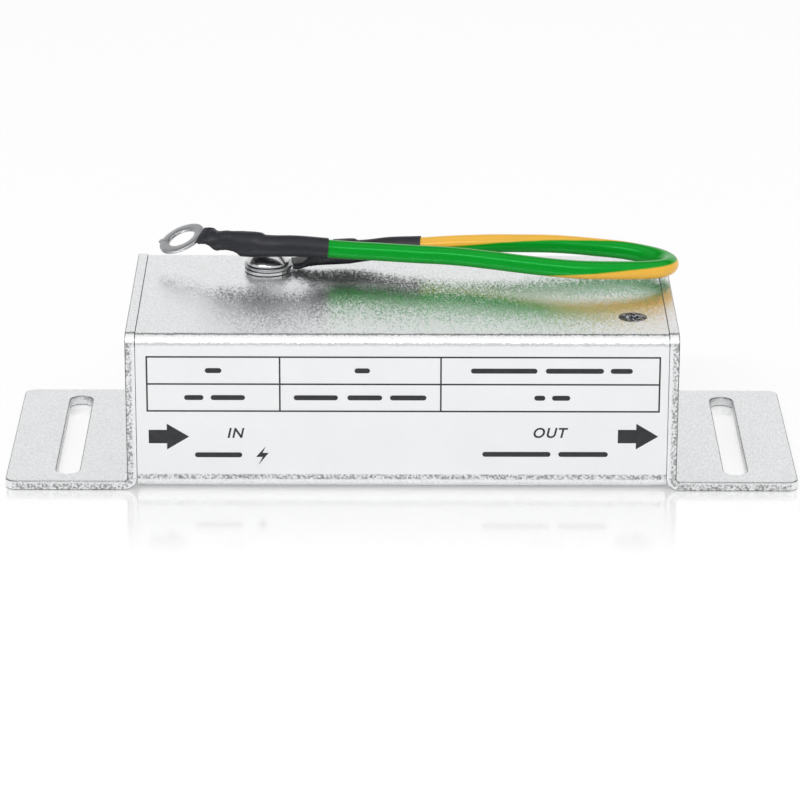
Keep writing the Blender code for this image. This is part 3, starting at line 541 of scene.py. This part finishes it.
looks = {
    "lead": pvcLead(),
    "sleeve": shrunkSleeve(),
    "housing": blastedAluminium("anodised aluminium, blasted, front rubbed smooth", True),
    "plate": blastedAluminium("anodised aluminium, blasted sheet", False),
    # pale grey with a soft, dull shine
    "tin": plainMetal("tinned copper, dull", ("a2a3a6", "b6b7b9"), (0.28, 0.34), 900.0, 0.15),
    # a bright mirror, hardly mottled
    "nickel": plainMetal("nickel plated steel, bright", ("cacacb", "d9d9da"), (0.18, 0.24), 700.0,
                         0.03),
    # dark, broken up by light specks
    "blackSteel": plainMetal("steel, black oxide", ("08090c", "b0b4bc"), (0.4, 0.5), 1700.0, 0.8,
                             (0.44, 0.6)),
    # warm yellow with a soft shine
    "brass": plainMetal("brass, turned", ("b8964c", "cfae62"), (0.22, 0.34), 800.0, 0.08),
    # deep yellow, bright
    "gold": plainMetal("phosphor bronze, gilt", ("d9b055", "ebc56e"), (0.16, 0.24), 900.0, 0.05),
    # black with a low sheen
    "jack": mouldedPlastic("glass filled PBT, black", ("151516", "202022"), (0.38, 0.5), 1600.0,
                           1.57),
    # dark green, glossy
    "board": mouldedPlastic("glass epoxy, green solder mask", ("17482b", "1f5a36"), (0.25, 0.35),
                            500.0, 1.55),
    # dark grey, matt
    "chip": mouldedPlastic("epoxy moulding compound", ("1d1d1f", "2b2b2d"), (0.5, 0.62), 1500.0,
                           1.55),
    # off white, smooth
    "ceramic": mouldedPlastic("alumina ceramic, plated ends", ("dcd8d3", "ebe8e4"), (0.3, 0.4),
                              600.0, 1.7),
    "ink": printInk(),
}
print("materials made:", len(looks))


# Lead, lugs and sleeves

lead, leadPoints, leadLength = leadMesh()
leadPiece = placePiece("earthLead", lead, looks["lead"], "green_and_yellow_pvc", "earth_lead")


def lugMesh(name, axes, bend, nub):
    # Ring: a closed band whose cross section is a rounded oblong, carried round the hole.
    # Strip: a sheet whose cross section goes from flat to a curl of the grip's radius.
    thick = lugSet["sheet"] / 2
    turns = np.linspace(0, 2 * math.pi, 144, endpoint=False)
    hole, rim = lugSet["hole"] / 2, lugSet["ring"] / 2
    outer = rim + nub * smoothRise(np.abs(turns - math.pi), *lugSet["nubSpan"])
    corner = lugSet["corner"]
    quarter = np.radians(np.linspace(0, 90, 5))
    edge = thick - corner
    profile = [(1, corner * (math.cos(a) - 1), edge + corner * math.sin(a)) for a in quarter]
    profile += [(0, corner * (1 - math.sin(a)), edge + corner * math.cos(a)) for a in quarter]
    profile += [(p[0], p[1], -p[2]) for p in profile[::-1]]
    rows = []
    for side, shift, z in profile:
        reach = (outer if side else np.full_like(turns, hole)) + shift
        rows.append(np.column_stack([reach * np.cos(turns), reach * np.sin(turns),
                                     np.full_like(turns, z)]))
    ring = np.array(rows)
    ringFaces = gridFaces(ring.shape[0], ring.shape[1], closeRows=True)
    u = np.r_[np.linspace(lugSet["stripStart"], lugSet["curlStart"], 8),
              np.linspace(lugSet["curlStart"], lugSet["end"], 44)[1:]]
    v = np.linspace(-1, 1, 41)
    half, curl = halfWidth(u)[:, None] * v, curlOf(u)[:, None]
    side, lift = np.sin(curl * half) / curl, (1 - np.cos(curl * half)) / curl
    normalSide, normalLift = -np.sin(curl * half), np.cos(curl * half)
    angle = bendAngle(u, bend)[:, None]
    x, z = [c[:, None] for c in stripLine(u, bend)]
    walls = []
    inset = lugSet["stripInset"]
    for offset in (thick - inset, -thick + inset):
        s, l = side + normalSide * offset, lift + normalLift * offset
        walls.append(np.stack([x - l * np.sin(angle), s + 0 * x, z + l * np.cos(angle)], axis=-1))
    strip = np.concatenate([walls[0], walls[1][:, ::-1]], axis=1)
    stripFaces = gridFaces(strip.shape[0], strip.shape[1])
    n = strip.shape[1]
    ends = [list(range(n))[::-1], [int(k) for k in (strip.shape[0] - 1) * n + np.arange(n)]]
    points = np.vstack([ring.reshape(-1, 3), strip.reshape(-1, 3)])
    shift = ring.shape[0] * ring.shape[1]
    faces = (ringFaces.tolist() + (stripFaces + shift).tolist()
             + [[k + shift for k in end] for end in ends])
    mesh = bpy.data.meshes.new(name)
    mesh.from_pydata((placed(axes, points) * mm).tolist(), [], faces)
    return outwards(mesh, 40)


def outwards(mesh, smooth):
    # faces point outwards, and only sharp edges stay sharp
    shape = bmesh.new()
    shape.from_mesh(mesh)
    bmesh.ops.recalc_face_normals(shape, faces=shape.faces)
    shape.to_mesh(mesh)
    shape.free()
    mesh.shade_smooth()
    mesh.set_sharp_from_angle(angle=math.radians(smooth))
    return mesh


sleeveSet = {
    "wall": 0.2,
    "onLug": 0.1,                    # inner wall's distance from the lug's metal
    "onLead": 0.06,
    "around": 72,
    "wrinkle": 0.05,
    "thickTop": 0.42, "leadTop": 0.1,  # extra wall on the upper side, over the lug and the lead
    # places along the lug and lead between which each of these comes or goes
    "crumpleOut": (12.8, 9.0), "mouth": 15.4, "mouthSpan": (1.2, 0.2),
    "thickIn": (7.0, 9.5), "thickOut": (17.0, 16.3), "leadIn": (16.3, 17.0), "leadOut": (28, 18),
}


def hullRing(section, reach):
    # the tight line round a section: support distance in each direction plus the reach
    turns = np.linspace(0, 2 * math.pi, sleeveSet["around"], endpoint=False)
    facing = np.column_stack([np.cos(turns), np.sin(turns)])
    height = (facing @ section.T).max(axis=1) + reach
    turn = turns[1]
    shift = (np.roll(height, -1) - height * math.cos(turn)) / math.sin(turn)
    sideways = np.column_stack([-facing[:, 1], facing[:, 0]])
    return facing * height[:, None] + sideways * shift[:, None]


def taut(wall):
    # dents along the sleeve filled: each point takes the farther of its own and the running mean's
    # distance from its ring's middle, twice over
    for reach in (5, 3):
        share = np.exp(-0.5 * (np.arange(-2 * reach, 2 * reach + 1) / reach) ** 2)
        padded = np.concatenate([np.repeat(wall[:1], 2 * reach, axis=0), wall,
                                 np.repeat(wall[-1:], 2 * reach, axis=0)])
        mean = sum(w * padded[k:k + len(wall)] for k, w in enumerate(share / share.sum()))
        middle = wall.mean(axis=1, keepdims=True)
        own = np.linalg.norm(wall - middle, axis=2, keepdims=True)
        other = np.linalg.norm(mean - middle, axis=2, keepdims=True)
        own[2 * reach:-2 * reach] = np.maximum(own, other)[2 * reach:-2 * reach]
        wall = middle + unit(wall - middle) * own
    return wall


def sleeveMesh(name, axes, bend, fromStart):
    # outer and inner walls, each a run of tight rings, first over the lug and then the lead
    turns = np.linspace(0, 2 * math.pi, sleeveSet["around"], endpoint=False)
    base = axes[:3, :3]
    side = base[:, 1]
    stations = []
    for u in np.linspace(lugSet["bendStart"] - 0.05, lugSet["end"] - 0.15, 64):
        half = halfWidth(u) * np.linspace(-1, 1, 41)
        curl = curlOf(u)
        section = np.column_stack([np.sin(curl * half) / curl, (1 - np.cos(curl * half)) / curl])
        angle = float(bendAngle(u, bend))
        x, z = stripLine(u, bend)
        up = base @ np.array([-math.sin(angle), 0, math.cos(angle)])
        centre = placed(axes, np.array([[x[0], 0, z[0]]]))[0]
        stations.append((centre, side, up, section, lugSet["sheet"] / 2 + sleeveSet["onLug"], u))
    line, length = leadLine(1200)
    line = line if fromStart else line[::-1]
    step = length / 1199
    for run in np.linspace(0.5, leadSet["sleeveLength"], 40):
        k = int(round(run / step))
        along = unit(line[k + 2] - line[k - 2 if k > 1 else 0])
        across = unit(side - along * (side @ along))
        stations.append((line[k], across, np.cross(along, across), np.zeros((1, 2)),
                         leadSet["diameter"] / 2 + sleeveSet["onLead"], lugSet["end"] + 0.3 + run))
    s = sleeveSet
    walls = []
    for grow in (sleeveSet["wall"], 0):
        wall, swell = [], []
        for centre, across, up, section, reach, u in stations:
            crumple = (np.sin(turns * 5 + u * 2.1) + np.sin(turns * 3 - u * 3.7)
                       + np.sin(u * 7.3)) / 3
            near = (smoothRise(u, *s["crumpleOut"])
                    + 0.5 * smoothRise(abs(u - s["mouth"]), *s["mouthSpan"]))
            ring = hullRing(section, reach + grow)
            away = unit(ring - section.mean(axis=0))
            wall.append(centre + ring[:, :1] * across + ring[:, 1:] * up)
            # crumpled over the lug, and thicker on top up to the barrel's end
            outward = away[:, :1] * across + away[:, 1:] * up
            thick = s["thickTop"] * smoothRise(u, *s["thickIn"]) * smoothRise(u, *s["thickOut"])
            lead = s["leadTop"] * smoothRise(u, *s["leadIn"]) * smoothRise(u, *s["leadOut"])
            thick = thick + lead
            amount = s["wrinkle"] * crumple * near + thick * np.maximum(outward[:, 2], 0)
            swell.append(outward * amount[:, None])
        wall = np.array(wall)
        walls.append(taut(wall) + np.array(swell) if grow else wall)
    rings = np.concatenate([walls[0], walls[1][::-1]])
    faces = gridFaces(rings.shape[0], rings.shape[1], closeRows=True)
    return outwards(makeMesh(name, rings.reshape(-1, 3) * mm, faces), 50)


for word, node, axes, bend, nub in (
        ("Earth", "at_screw", earthLugAxes(), lugSet["earthBend"], 0),
        ("Free", "free", freeLugAxes(), lugSet["freeBend"], lugSet["nub"])):
    mesh = lugMesh("lug" + word, axes, bend, nub)
    placePiece("lug" + word, mesh, looks["tin"], "tinned_copper",
                                    "lug_" + node)
    mesh = sleeveMesh("sleeve" + word, axes, bend, word == "Earth")
    placePiece("sleeve" + word, mesh, looks["sleeve"], "shrunk_sleeve",
                                       "sleeve_" + node)
print("lead made:", round(leadLength, 1), "mm")


# Screws: heads are polar grids whose height is a dome less a cross shaped recess

def crossDepth(x, y, reach, width, depth):
    # two crossed bars with sloped walls, deepest at the middle
    wall = width * 0.35
    bars = np.maximum(smoothRise(np.abs(y), width / 2 + wall, width / 2 - wall / 2)
                      * smoothRise(np.abs(x), reach, reach - wall * 2),
                      smoothRise(np.abs(x), width / 2 + wall, width / 2 - wall / 2)
                      * smoothRise(np.abs(y), reach, reach - wall * 2))
    return depth * bars


earthScrewSet = {
    "at": (-25.2, 13.5, 31.3), "head": 8.0, "top": 2.7, "rim": 0.3, "under": None,
    "shank": 3.9, "length": 10.0, "recess": (2.0, 0.8, 1.0), "rings": 70, "around": 160,
}
flatScrewSet = {
    "head": 4.9, "top": 0, "rim": 0, "under": 1.3, "shank": 2.5, "length": 7.5,
    "recess": (1.5, 0.62, 0.8), "rings": 34, "around": 96,
}


def screwMesh(name, s, turn):
    # head and shank as one profile turned about Z; only the head's top carries the recess
    radius, shank, rim, top, under = s["head"] / 2, s["shank"] / 2, s["rim"], s["top"], s["under"]
    r = radius * (1 - (1 - np.linspace(0, 1, s["rings"])) ** 1.2)
    z = 0 * r + top
    if top > rim:
        z = rim + (top - rim) * np.maximum(0, 1 - (r / radius) ** 2) ** 0.9
    if under is None:
        low = [(radius, rim * 0.7), (radius, 0.12 * rim), (radius - 0.1, 0), (shank, 0)]
    else:
        low = [(radius, -0.12), (shank, -under)]
    low += [(shank, -s["length"] + 0.5), (shank - 0.5, -s["length"]), (0.02, -s["length"])]
    r, z = np.r_[r, [p[0] for p in low]], np.r_[z, [p[1] for p in low]]
    turns = np.linspace(0, 2 * math.pi, s["around"], endpoint=False)
    x, y = r[:, None] * np.cos(turns), r[:, None] * np.sin(turns)
    height = np.repeat(z[:, None], s["around"], axis=1)
    c, d = math.cos(turn), math.sin(turn)
    dig = crossDepth(x * c + y * d, y * c - x * d, *s["recess"])
    height[:s["rings"]] -= dig[:s["rings"]]
    return makeMesh(name, np.stack([x, y, height], axis=-1).reshape(-1, 3),
                    gridFaces(len(r), s["around"]))


def finishScrew(mesh, matrix):
    # doubles at the poles merged, normals outwards, then moved to its hole
    shape = bmesh.new()
    shape.from_mesh(mesh)
    bmesh.ops.remove_doubles(shape, verts=shape.verts, dist=1e-4)
    bmesh.ops.holes_fill(shape, edges=shape.edges, sides=0)
    bmesh.ops.transform(shape, matrix=matrix @ Matrix.Scale(mm, 4), verts=shape.verts)
    bmesh.ops.recalc_face_normals(shape, faces=shape.faces)
    shape.to_mesh(mesh)
    shape.free()
    mesh.shade_smooth()
    mesh.set_sharp_from_angle(angle=math.radians(35))


def addScrews():
    # the pan head at its place; each countersunk one at the outer end of its CAD box, turned
    # so that its axis points out of its hole, with its recess at an angle of its own
    mesh = screwMesh("earthScrew", earthScrewSet, 0.5)
    finishScrew(mesh, Matrix.Translation(Vector(earthScrewSet["at"]) * mm))
    placePiece("earthScrew", mesh, looks["nickel"], "nickel_plated_steel", "earth_screw")
    nodes = [n for n in sorted(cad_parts) if n.startswith("end_screw_") or n == "flush_screw"]
    for k, node in enumerate(nodes):
        low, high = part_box(node)
        middle = (low + high) / 2
        if node == "flush_screw":
            turn = Matrix.Identity(4)
            middle.z = high.z
        else:
            side = 1 if middle.x > 0 else -1
            turn = Matrix.Rotation(side * math.pi / 2, 4, "Y")
            middle.x = high.x if side > 0 else low.x
        mesh = screwMesh(node, flatScrewSet, 0.35 + 1.1 * k)
        finishScrew(mesh, Matrix.Translation(middle) @ turn)
        piece = "".join(w.capitalize() for w in node.split("_"))
        placePiece(piece[0].lower() + piece[1:], mesh, looks["blackSteel"], "blackened_steel", node)
    print("screws made:", len(nodes) + 1)


addScrews()


# Sheet and extruded pieces: the CAD shape, merged, with its edges broken as tumbling breaks them

def weightedNormals(mesh, smooth):
    # each corner's normal: the sum of its vertex's face normals by area, within the smooth angle
    faces, corners = len(mesh.polygons), len(mesh.loops)
    normal, area = np.zeros(faces * 3), np.zeros(faces)
    mesh.polygons.foreach_get("normal", normal)
    mesh.polygons.foreach_get("area", area)
    counts, vertex = np.zeros(faces, int), np.zeros(corners, int)
    mesh.polygons.foreach_get("loop_total", counts)
    mesh.loops.foreach_get("vertex_index", vertex)
    normal = normal.reshape(-1, 3)
    owner = np.repeat(np.arange(faces), counts)
    order = np.argsort(vertex, kind="stable")
    start = np.searchsorted(vertex[order], vertex)
    many = np.bincount(vertex)[vertex]
    total = np.zeros((corners, 3))
    for k in range(many.max()):
        other = owner[order[np.minimum(start + k, corners - 1)]]
        near = ((k < many)
                & ((normal[other] * normal[owner]).sum(axis=1) > math.cos(math.radians(smooth))))
        total += normal[other] * (area[other] * near)[:, None]
    mesh.normals_split_custom_set(unit(total).tolist())


edgeSet = {
    "sharp": 50,                     # degrees at an edge above which it is broken
    "joint": 0.05,                   # mm broken off at the plates' joint and the flush screw
    "meet": 48.1, "meetWithin": 0.2,  # where the plates meet the housing, mm from the middle
    "inJoint": 48.2, "inJointWithin": 0.5, "inJointBelow": 27.4,
    # share of the darker line on each broken edge, and a smaller share in the plates' joint
    "worn": 1.0, "wornInJoint": 0.15,
}
flushLow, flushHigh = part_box("flush_screw")
flushMiddle = (flushLow + flushHigh) / 2
flushReach = (flushHigh.x - flushLow.x) / 2 + 0.5 * mm


def atJoint(edge):
    # whether both ends lie where an end plate meets the housing, or by the flush screw
    return all(abs(abs(v.co.x) - edgeSet["meet"] * mm) < edgeSet["meetWithin"] * mm
               or (v.co.z > flushHigh.z - 0.3 * mm
                   and (v.co - flushMiddle).to_2d().length < flushReach)
               for v in edge.verts)


def refined(node, name, material, slot, width, grow=0):
    # merged copy; sharp edges broken by a small round; end faces brought out by grow
    shape = bmesh.new()
    shape.from_mesh(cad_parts[node].data)
    bmesh.ops.remove_doubles(shape, verts=shape.verts, dist=2e-6)
    bmesh.ops.dissolve_limit(shape, angle_limit=math.radians(0.6), verts=shape.verts,
                             edges=shape.edges)
    worn = shape.faces.layers.float.new("arris")
    # less is broken off where the plates meet the housing
    for joint, offset in ((True, edgeSet["joint"]), (False, width)):
        sharp = [e for e in shape.edges if len(e.link_faces) == 2
                 and e.calc_face_angle(0) > math.radians(edgeSet["sharp"]) and atJoint(e) == joint]
        bmesh.ops.bevel(shape, geom=sharp, offset=offset * mm, segments=2, profile=0.5,
                        affect="EDGES", clamp_overlap=False, material=-1)
    if grow:
        far = max(v.co.x for v in shape.verts)
        for v in shape.verts:
            if abs(v.co.x) > far - 0.5 * mm:
                v.co.x += math.copysign(grow * mm, v.co.x)
    # the broken edges are the narrow faces: thinner than the width, and small for their girth
    for face in shape.faces:
        thin = min(e.calc_length() for e in face.edges)
        if thin < 0.95 * width * mm and face.calc_area() < 0.9 * width * mm * face.calc_perimeter():
            place = face.calc_center_median()
            inJoint = (abs(abs(place.x) - edgeSet["inJoint"] * mm) < edgeSet["inJointWithin"] * mm
                       and place.z < edgeSet["inJointBelow"] * mm)
            face[worn] = edgeSet["wornInJoint" if inJoint else "worn"]
    mesh = bpy.data.meshes.new(name)
    shape.to_mesh(mesh)
    shape.free()
    mesh.shade_smooth()
    weightedNormals(mesh, edgeSet["sharp"])
    return placePiece(name, mesh, material, slot, node)


refined("housing", "housing", looks["housing"], "bead_blasted_aluminium", 0.12, 0.19)
for word in ("in", "out"):
    side = word.capitalize()
    refined("end_plate_" + word, "endPlate" + side, looks["plate"], "bead_blasted_aluminium", 0.2)
    refined("jack_shield_" + word, "jackShield" + side, looks["tin"], "tinned_copper", 0.08)
    refined("jack_body_" + word, "jackBody" + side, looks["jack"], "black_moulded_plastic", 0.12)
print("sheet and moulded pieces refined")

nodeLooks = {"earth_washer": "nickel", "earth_post": "brass", "support_post": "brass",
             "circuit_board": "board"}
for node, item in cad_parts.items():
    kind = nodeLooks.get(node)
    if node.startswith("contact_"):
        kind = "gold"
    elif node.startswith(("diode_array_", "clamp_diode_")):
        kind = "chip"
    elif node.startswith("gas_tube_"):
        kind = "ceramic"
    if kind:
        for place in item.material_slots:
            place.link = "OBJECT"
            place.material = looks[kind]


# Print on the front: a ruled frame, arrows and plain marks, 0.02 mm proud of the metal

printSet = {
    "face": -23.75, "proud": 0.02, "line": 0.3,
    "columns": (-46.1, -22.1, 7.0, 46.5), "rules": (25.8, 20.6, 15.4),
    "arrows": ((-45.93, 10.43), (39.15, 10.6)),  # tail and height of each
    "neck": 3.3, "tip": 7.33,        # from an arrow's tail
    "shaft": 1.3, "barb": 2.5,       # its half widths
    "barHeight": 0.95,
    "bars": (                        # start, end and height of each
        (-35.6, -32.6, 23.2), (-8.6, -5.8, 23.2), (12.4, 24.4, 23.2), (25.9, 36.4, 23.2),
        (37.6, 41.6, 23.2), (-39.4, -35.9, 18.0), (-34.6, -28.4, 18.0), (-19.6, -11.6, 18.0),
        (-9.9, -3.6, 18.0), (-2.2, 4.4, 18.0), (23.9, 25.9, 18.0), (27.1, 30.4, 18.0),
        (-37.6, -29.0, 6.9), (14.6, 27.0, 7.1), (28.4, 37.4, 7.1)),
    "bolt": ((-24.7, 8.6), (-26.5, 6.5), (-25.3, 6.5), (-26.1, 4.9), (-24.2, 7.3), (-25.3, 7.3)),
    "words": (("IN", -30.3, 11.05), ("OUT", 26.65, 11.17)),
    "wordHeight": 1.95, "sizeOverHeight": 1.37, "spacing": 1.15, "slant": 0.22, "bold": 0.055,
}


def flatPolygon(shape, outline):
    # a flat face on the front, turned to face outwards
    y = (printSet["face"] - printSet["proud"]) * mm
    face = shape.faces.new([shape.verts.new((x * mm, y, z * mm)) for x, z in outline])
    face.normal_update()
    if face.normal.y > 0:
        face.normal_flip()


def oblong(x0, x1, z0, z1):
    # corners of an upright oblong
    return [(x0, z0), (x1, z0), (x1, z1), (x0, z1)]


def barOutline(x0, x1, z, height):
    # a bar with round ends
    r = height / 2
    turns = np.radians(np.linspace(-90, 90, 9))
    right = [(x1 - r + r * math.cos(a), z + r * math.sin(a)) for a in turns]
    left = [(x0 + r - r * math.cos(a), z - r * math.sin(a)) for a in turns]
    return right + left


def addPrint():
    # rules and columns as thin oblongs, arrows of a shaft and a point, bars and a bolt shape
    shape = bmesh.new()
    p = printSet
    w = p["line"] / 2
    left, right = p["columns"][0], p["columns"][-1]
    for z in p["rules"]:
        flatPolygon(shape, oblong(left - w, right + w, z - w, z + w))
    for x in p["columns"]:
        for low, high in zip(p["rules"][1:], p["rules"]):
            flatPolygon(shape, oblong(x - w, x + w, low + w, high - w))
    half, wide = p["shaft"], p["barb"]
    for tail, z in p["arrows"]:
        head, tip = tail + p["neck"], tail + p["tip"]
        flatPolygon(shape, [(tail, z - half), (head, z - half), (head, z - wide), (tip, z),
                            (head, z + wide), (head, z + half), (tail, z + half)])
    for x0, x1, z in p["bars"]:
        flatPolygon(shape, barOutline(x0, x1, z, p["barHeight"]))
    flatPolygon(shape, p["bolt"])
    mesh = bpy.data.meshes.new("frontPrint")
    shape.to_mesh(mesh)
    shape.free()
    placePiece("frontPrint", mesh, looks["ink"], "black_moulded_plastic")


def addWord(text, x, z):
    # generic port mark, made a mesh and laid on the front face
    curve = bpy.data.curves.new("word", "FONT")
    curve.body = text
    curve.size = printSet["wordHeight"] * printSet["sizeOverHeight"] * mm
    curve.align_x = "CENTER"
    curve.align_y = "CENTER"
    curve.space_character = printSet["spacing"]
    curve.shear = printSet["slant"]
    curve.offset = printSet["bold"] * mm
    item = bpy.data.objects.new("word", curve)
    bpy.context.collection.objects.link(item)
    graph = bpy.context.evaluated_depsgraph_get()
    mesh = bpy.data.meshes.new_from_object(item.evaluated_get(graph))
    bpy.data.objects.remove(item)
    mesh.transform(Matrix.Translation(Vector((x, printSet["face"] - printSet["proud"], z)) * mm)
                   @ Matrix.Rotation(math.pi / 2, 4, "X"))
    mesh.name = "mark" + text.capitalize()
    placePiece("mark" + text.capitalize(), mesh, looks["ink"], "black_moulded_plastic")


addPrint()
for word in printSet["words"]:
    addWord(*word)
print("print laid")


# Stage: pale floor, white surround, soft lamps

white = (1, 1, 1, 1)
stageSet = {
    "glow": 0.6,                     # share of the floor that shows plain white to the camera
    "mirror": 0.28,                  # share that it mirrors where it is polished
    "polished": (-0.03, -0.06),      # the polish fades between these two places in front
    "worldLevel": 0.76,
    "gloss": 0.12,
    # shares of the half turn from the front horizon over the top to the back one: the pale room,
    # the white ceiling, an unlit gap and the white wall behind
    "bands": ((0.0, "c8c8c8"), (0.12, "d8d8d8"), (0.2, "ffffff"), (0.62, "ffffff"),
              (0.66, "101010"), (0.78, "101010"), (0.805, "ffffff"), (1.0, "ffffff")),
}


def floorMaterial():
    # gloss white acrylic sheet: plain white, with a faint mirror and the object's shadow
    material, tree, shader = newMaterial("white acrylic sheet")
    place = addNode(tree, "TexCoord").outputs["Object"]
    tone = setRamp(addNode(tree, "ValToRGB", {"Fac": noise(tree, place, 3.0, 2)}),
                   [(0.3, "fafafa"), (0.7, "fdfdfd")])
    setInputs(tree, shader, {"Base Color": tone.outputs["Color"], "Specular IOR Level": 0.0})
    seen = addNode(tree, "LightPath").outputs["Is Camera Ray"]
    glow = addNode(tree, "Emission", {"Color": white, "Strength": 1.0})
    mix = addNode(tree, "MixShader", {0: maths(tree, "MULTIPLY", seen, stageSet["glow"]),
                                      1: shader.outputs[0], 2: glow.outputs[0]})
    # polished where the object stands, and matt towards the camera
    split = addNode(tree, "SeparateXYZ", {0: place}).outputs
    start, end = stageSet["polished"]
    polish = addNode(tree, "MapRange", {"Value": split["Y"], "From Min": end, "From Max": start,
                                        "To Min": 0.0, "To Max": stageSet["mirror"]},
                     interpolation_type="SMOOTHSTEP")
    gloss = addNode(tree, "BsdfGlossy", {"Color": white, "Roughness": stageSet["gloss"]})
    both = addNode(tree, "MixShader", {0: maths(tree, "MULTIPLY", polish.outputs[0], seen),
                                       1: mix.outputs[0], 2: gloss.outputs[0]})
    tree.links.new(both.outputs[0], tree.nodes["Material Output"].inputs["Surface"])
    return material


def addStage():
    # a square floor, and a world that is white to the camera and banded to reflections
    mesh = makeMesh("floor", [(-3, -3, 0), (3, -3, 0), (3, 3, 0), (-3, 3, 0)], [(0, 1, 2, 3)])
    mesh.materials.append(floorMaterial())
    floor = bpy.data.objects.new("floor", mesh)
    bpy.context.collection.objects.link(floor)
    world = bpy.data.worlds.new("studio")
    bpy.context.scene.world = world
    world.use_nodes = True
    tree = world.node_tree
    tree.nodes.clear()
    place = addNode(tree, "TexCoord").outputs["Generated"]
    split = addNode(tree, "SeparateXYZ", {0: place}).outputs
    # the band is the angle up from the front horizon, as a share of the half turn
    turn = maths(tree, "ARCTAN2", split["Z"], maths(tree, "MULTIPLY", split["Y"], -1.0))
    share = maths(tree, "DIVIDE", turn, math.pi)
    bands = setRamp(addNode(tree, "ValToRGB", {"Fac": share}), stageSet["bands"])
    path = addNode(tree, "LightPath").outputs
    mirror = addNode(tree, "Background", {"Color": bands.outputs["Color"], "Strength": 1.0})
    plain = addNode(tree, "Background", {"Color": white, "Strength": stageSet["worldLevel"]})
    bright = addNode(tree, "Background", {"Color": white, "Strength": 1.0})
    one = addNode(tree, "MixShader", {0: path["Is Glossy Ray"], 1: plain.outputs[0],
                                      2: mirror.outputs[0]})
    seen = maths(tree, "MAXIMUM", path["Is Camera Ray"], path["Is Transmission Ray"])
    two = addNode(tree, "MixShader", {0: seen, 1: one.outputs[0], 2: bright.outputs[0]})
    out = addNode(tree, "OutputWorld", {"Surface": two.outputs[0]})
    out.is_active_output = True


# place and size in metres, and power in watts
lampSet = {
    "key": ((-0.25, -0.72, 0.82), (1.0, 0.1), 4.0),
    "fill": ((0.6, -0.65, 0.75), (0.9, 0.8), 1.0),
    "top": ((0.0, 0.15, 0.9), (1.6, 1.2), 0.5),
}


def addLamps():
    # soft oblong lamps, each aimed at the object's middle
    for name, (place, size, power) in lampSet.items():
        light = bpy.data.lights.new(name, "AREA")
        light.shape = "RECTANGLE"
        light.size, light.size_y = size
        light.energy = power
        lamp = bpy.data.objects.new(name, light)
        bpy.context.collection.objects.link(lamp)
        lamp.location = place
        aim = Vector((0, 0, 0.02)) - lamp.location
        lamp.rotation_euler = aim.to_track_quat("-Z", "Y").to_euler()


addStage()
addLamps()
bpy.context.scene.view_settings.view_transform = "Standard"
print("stage set")
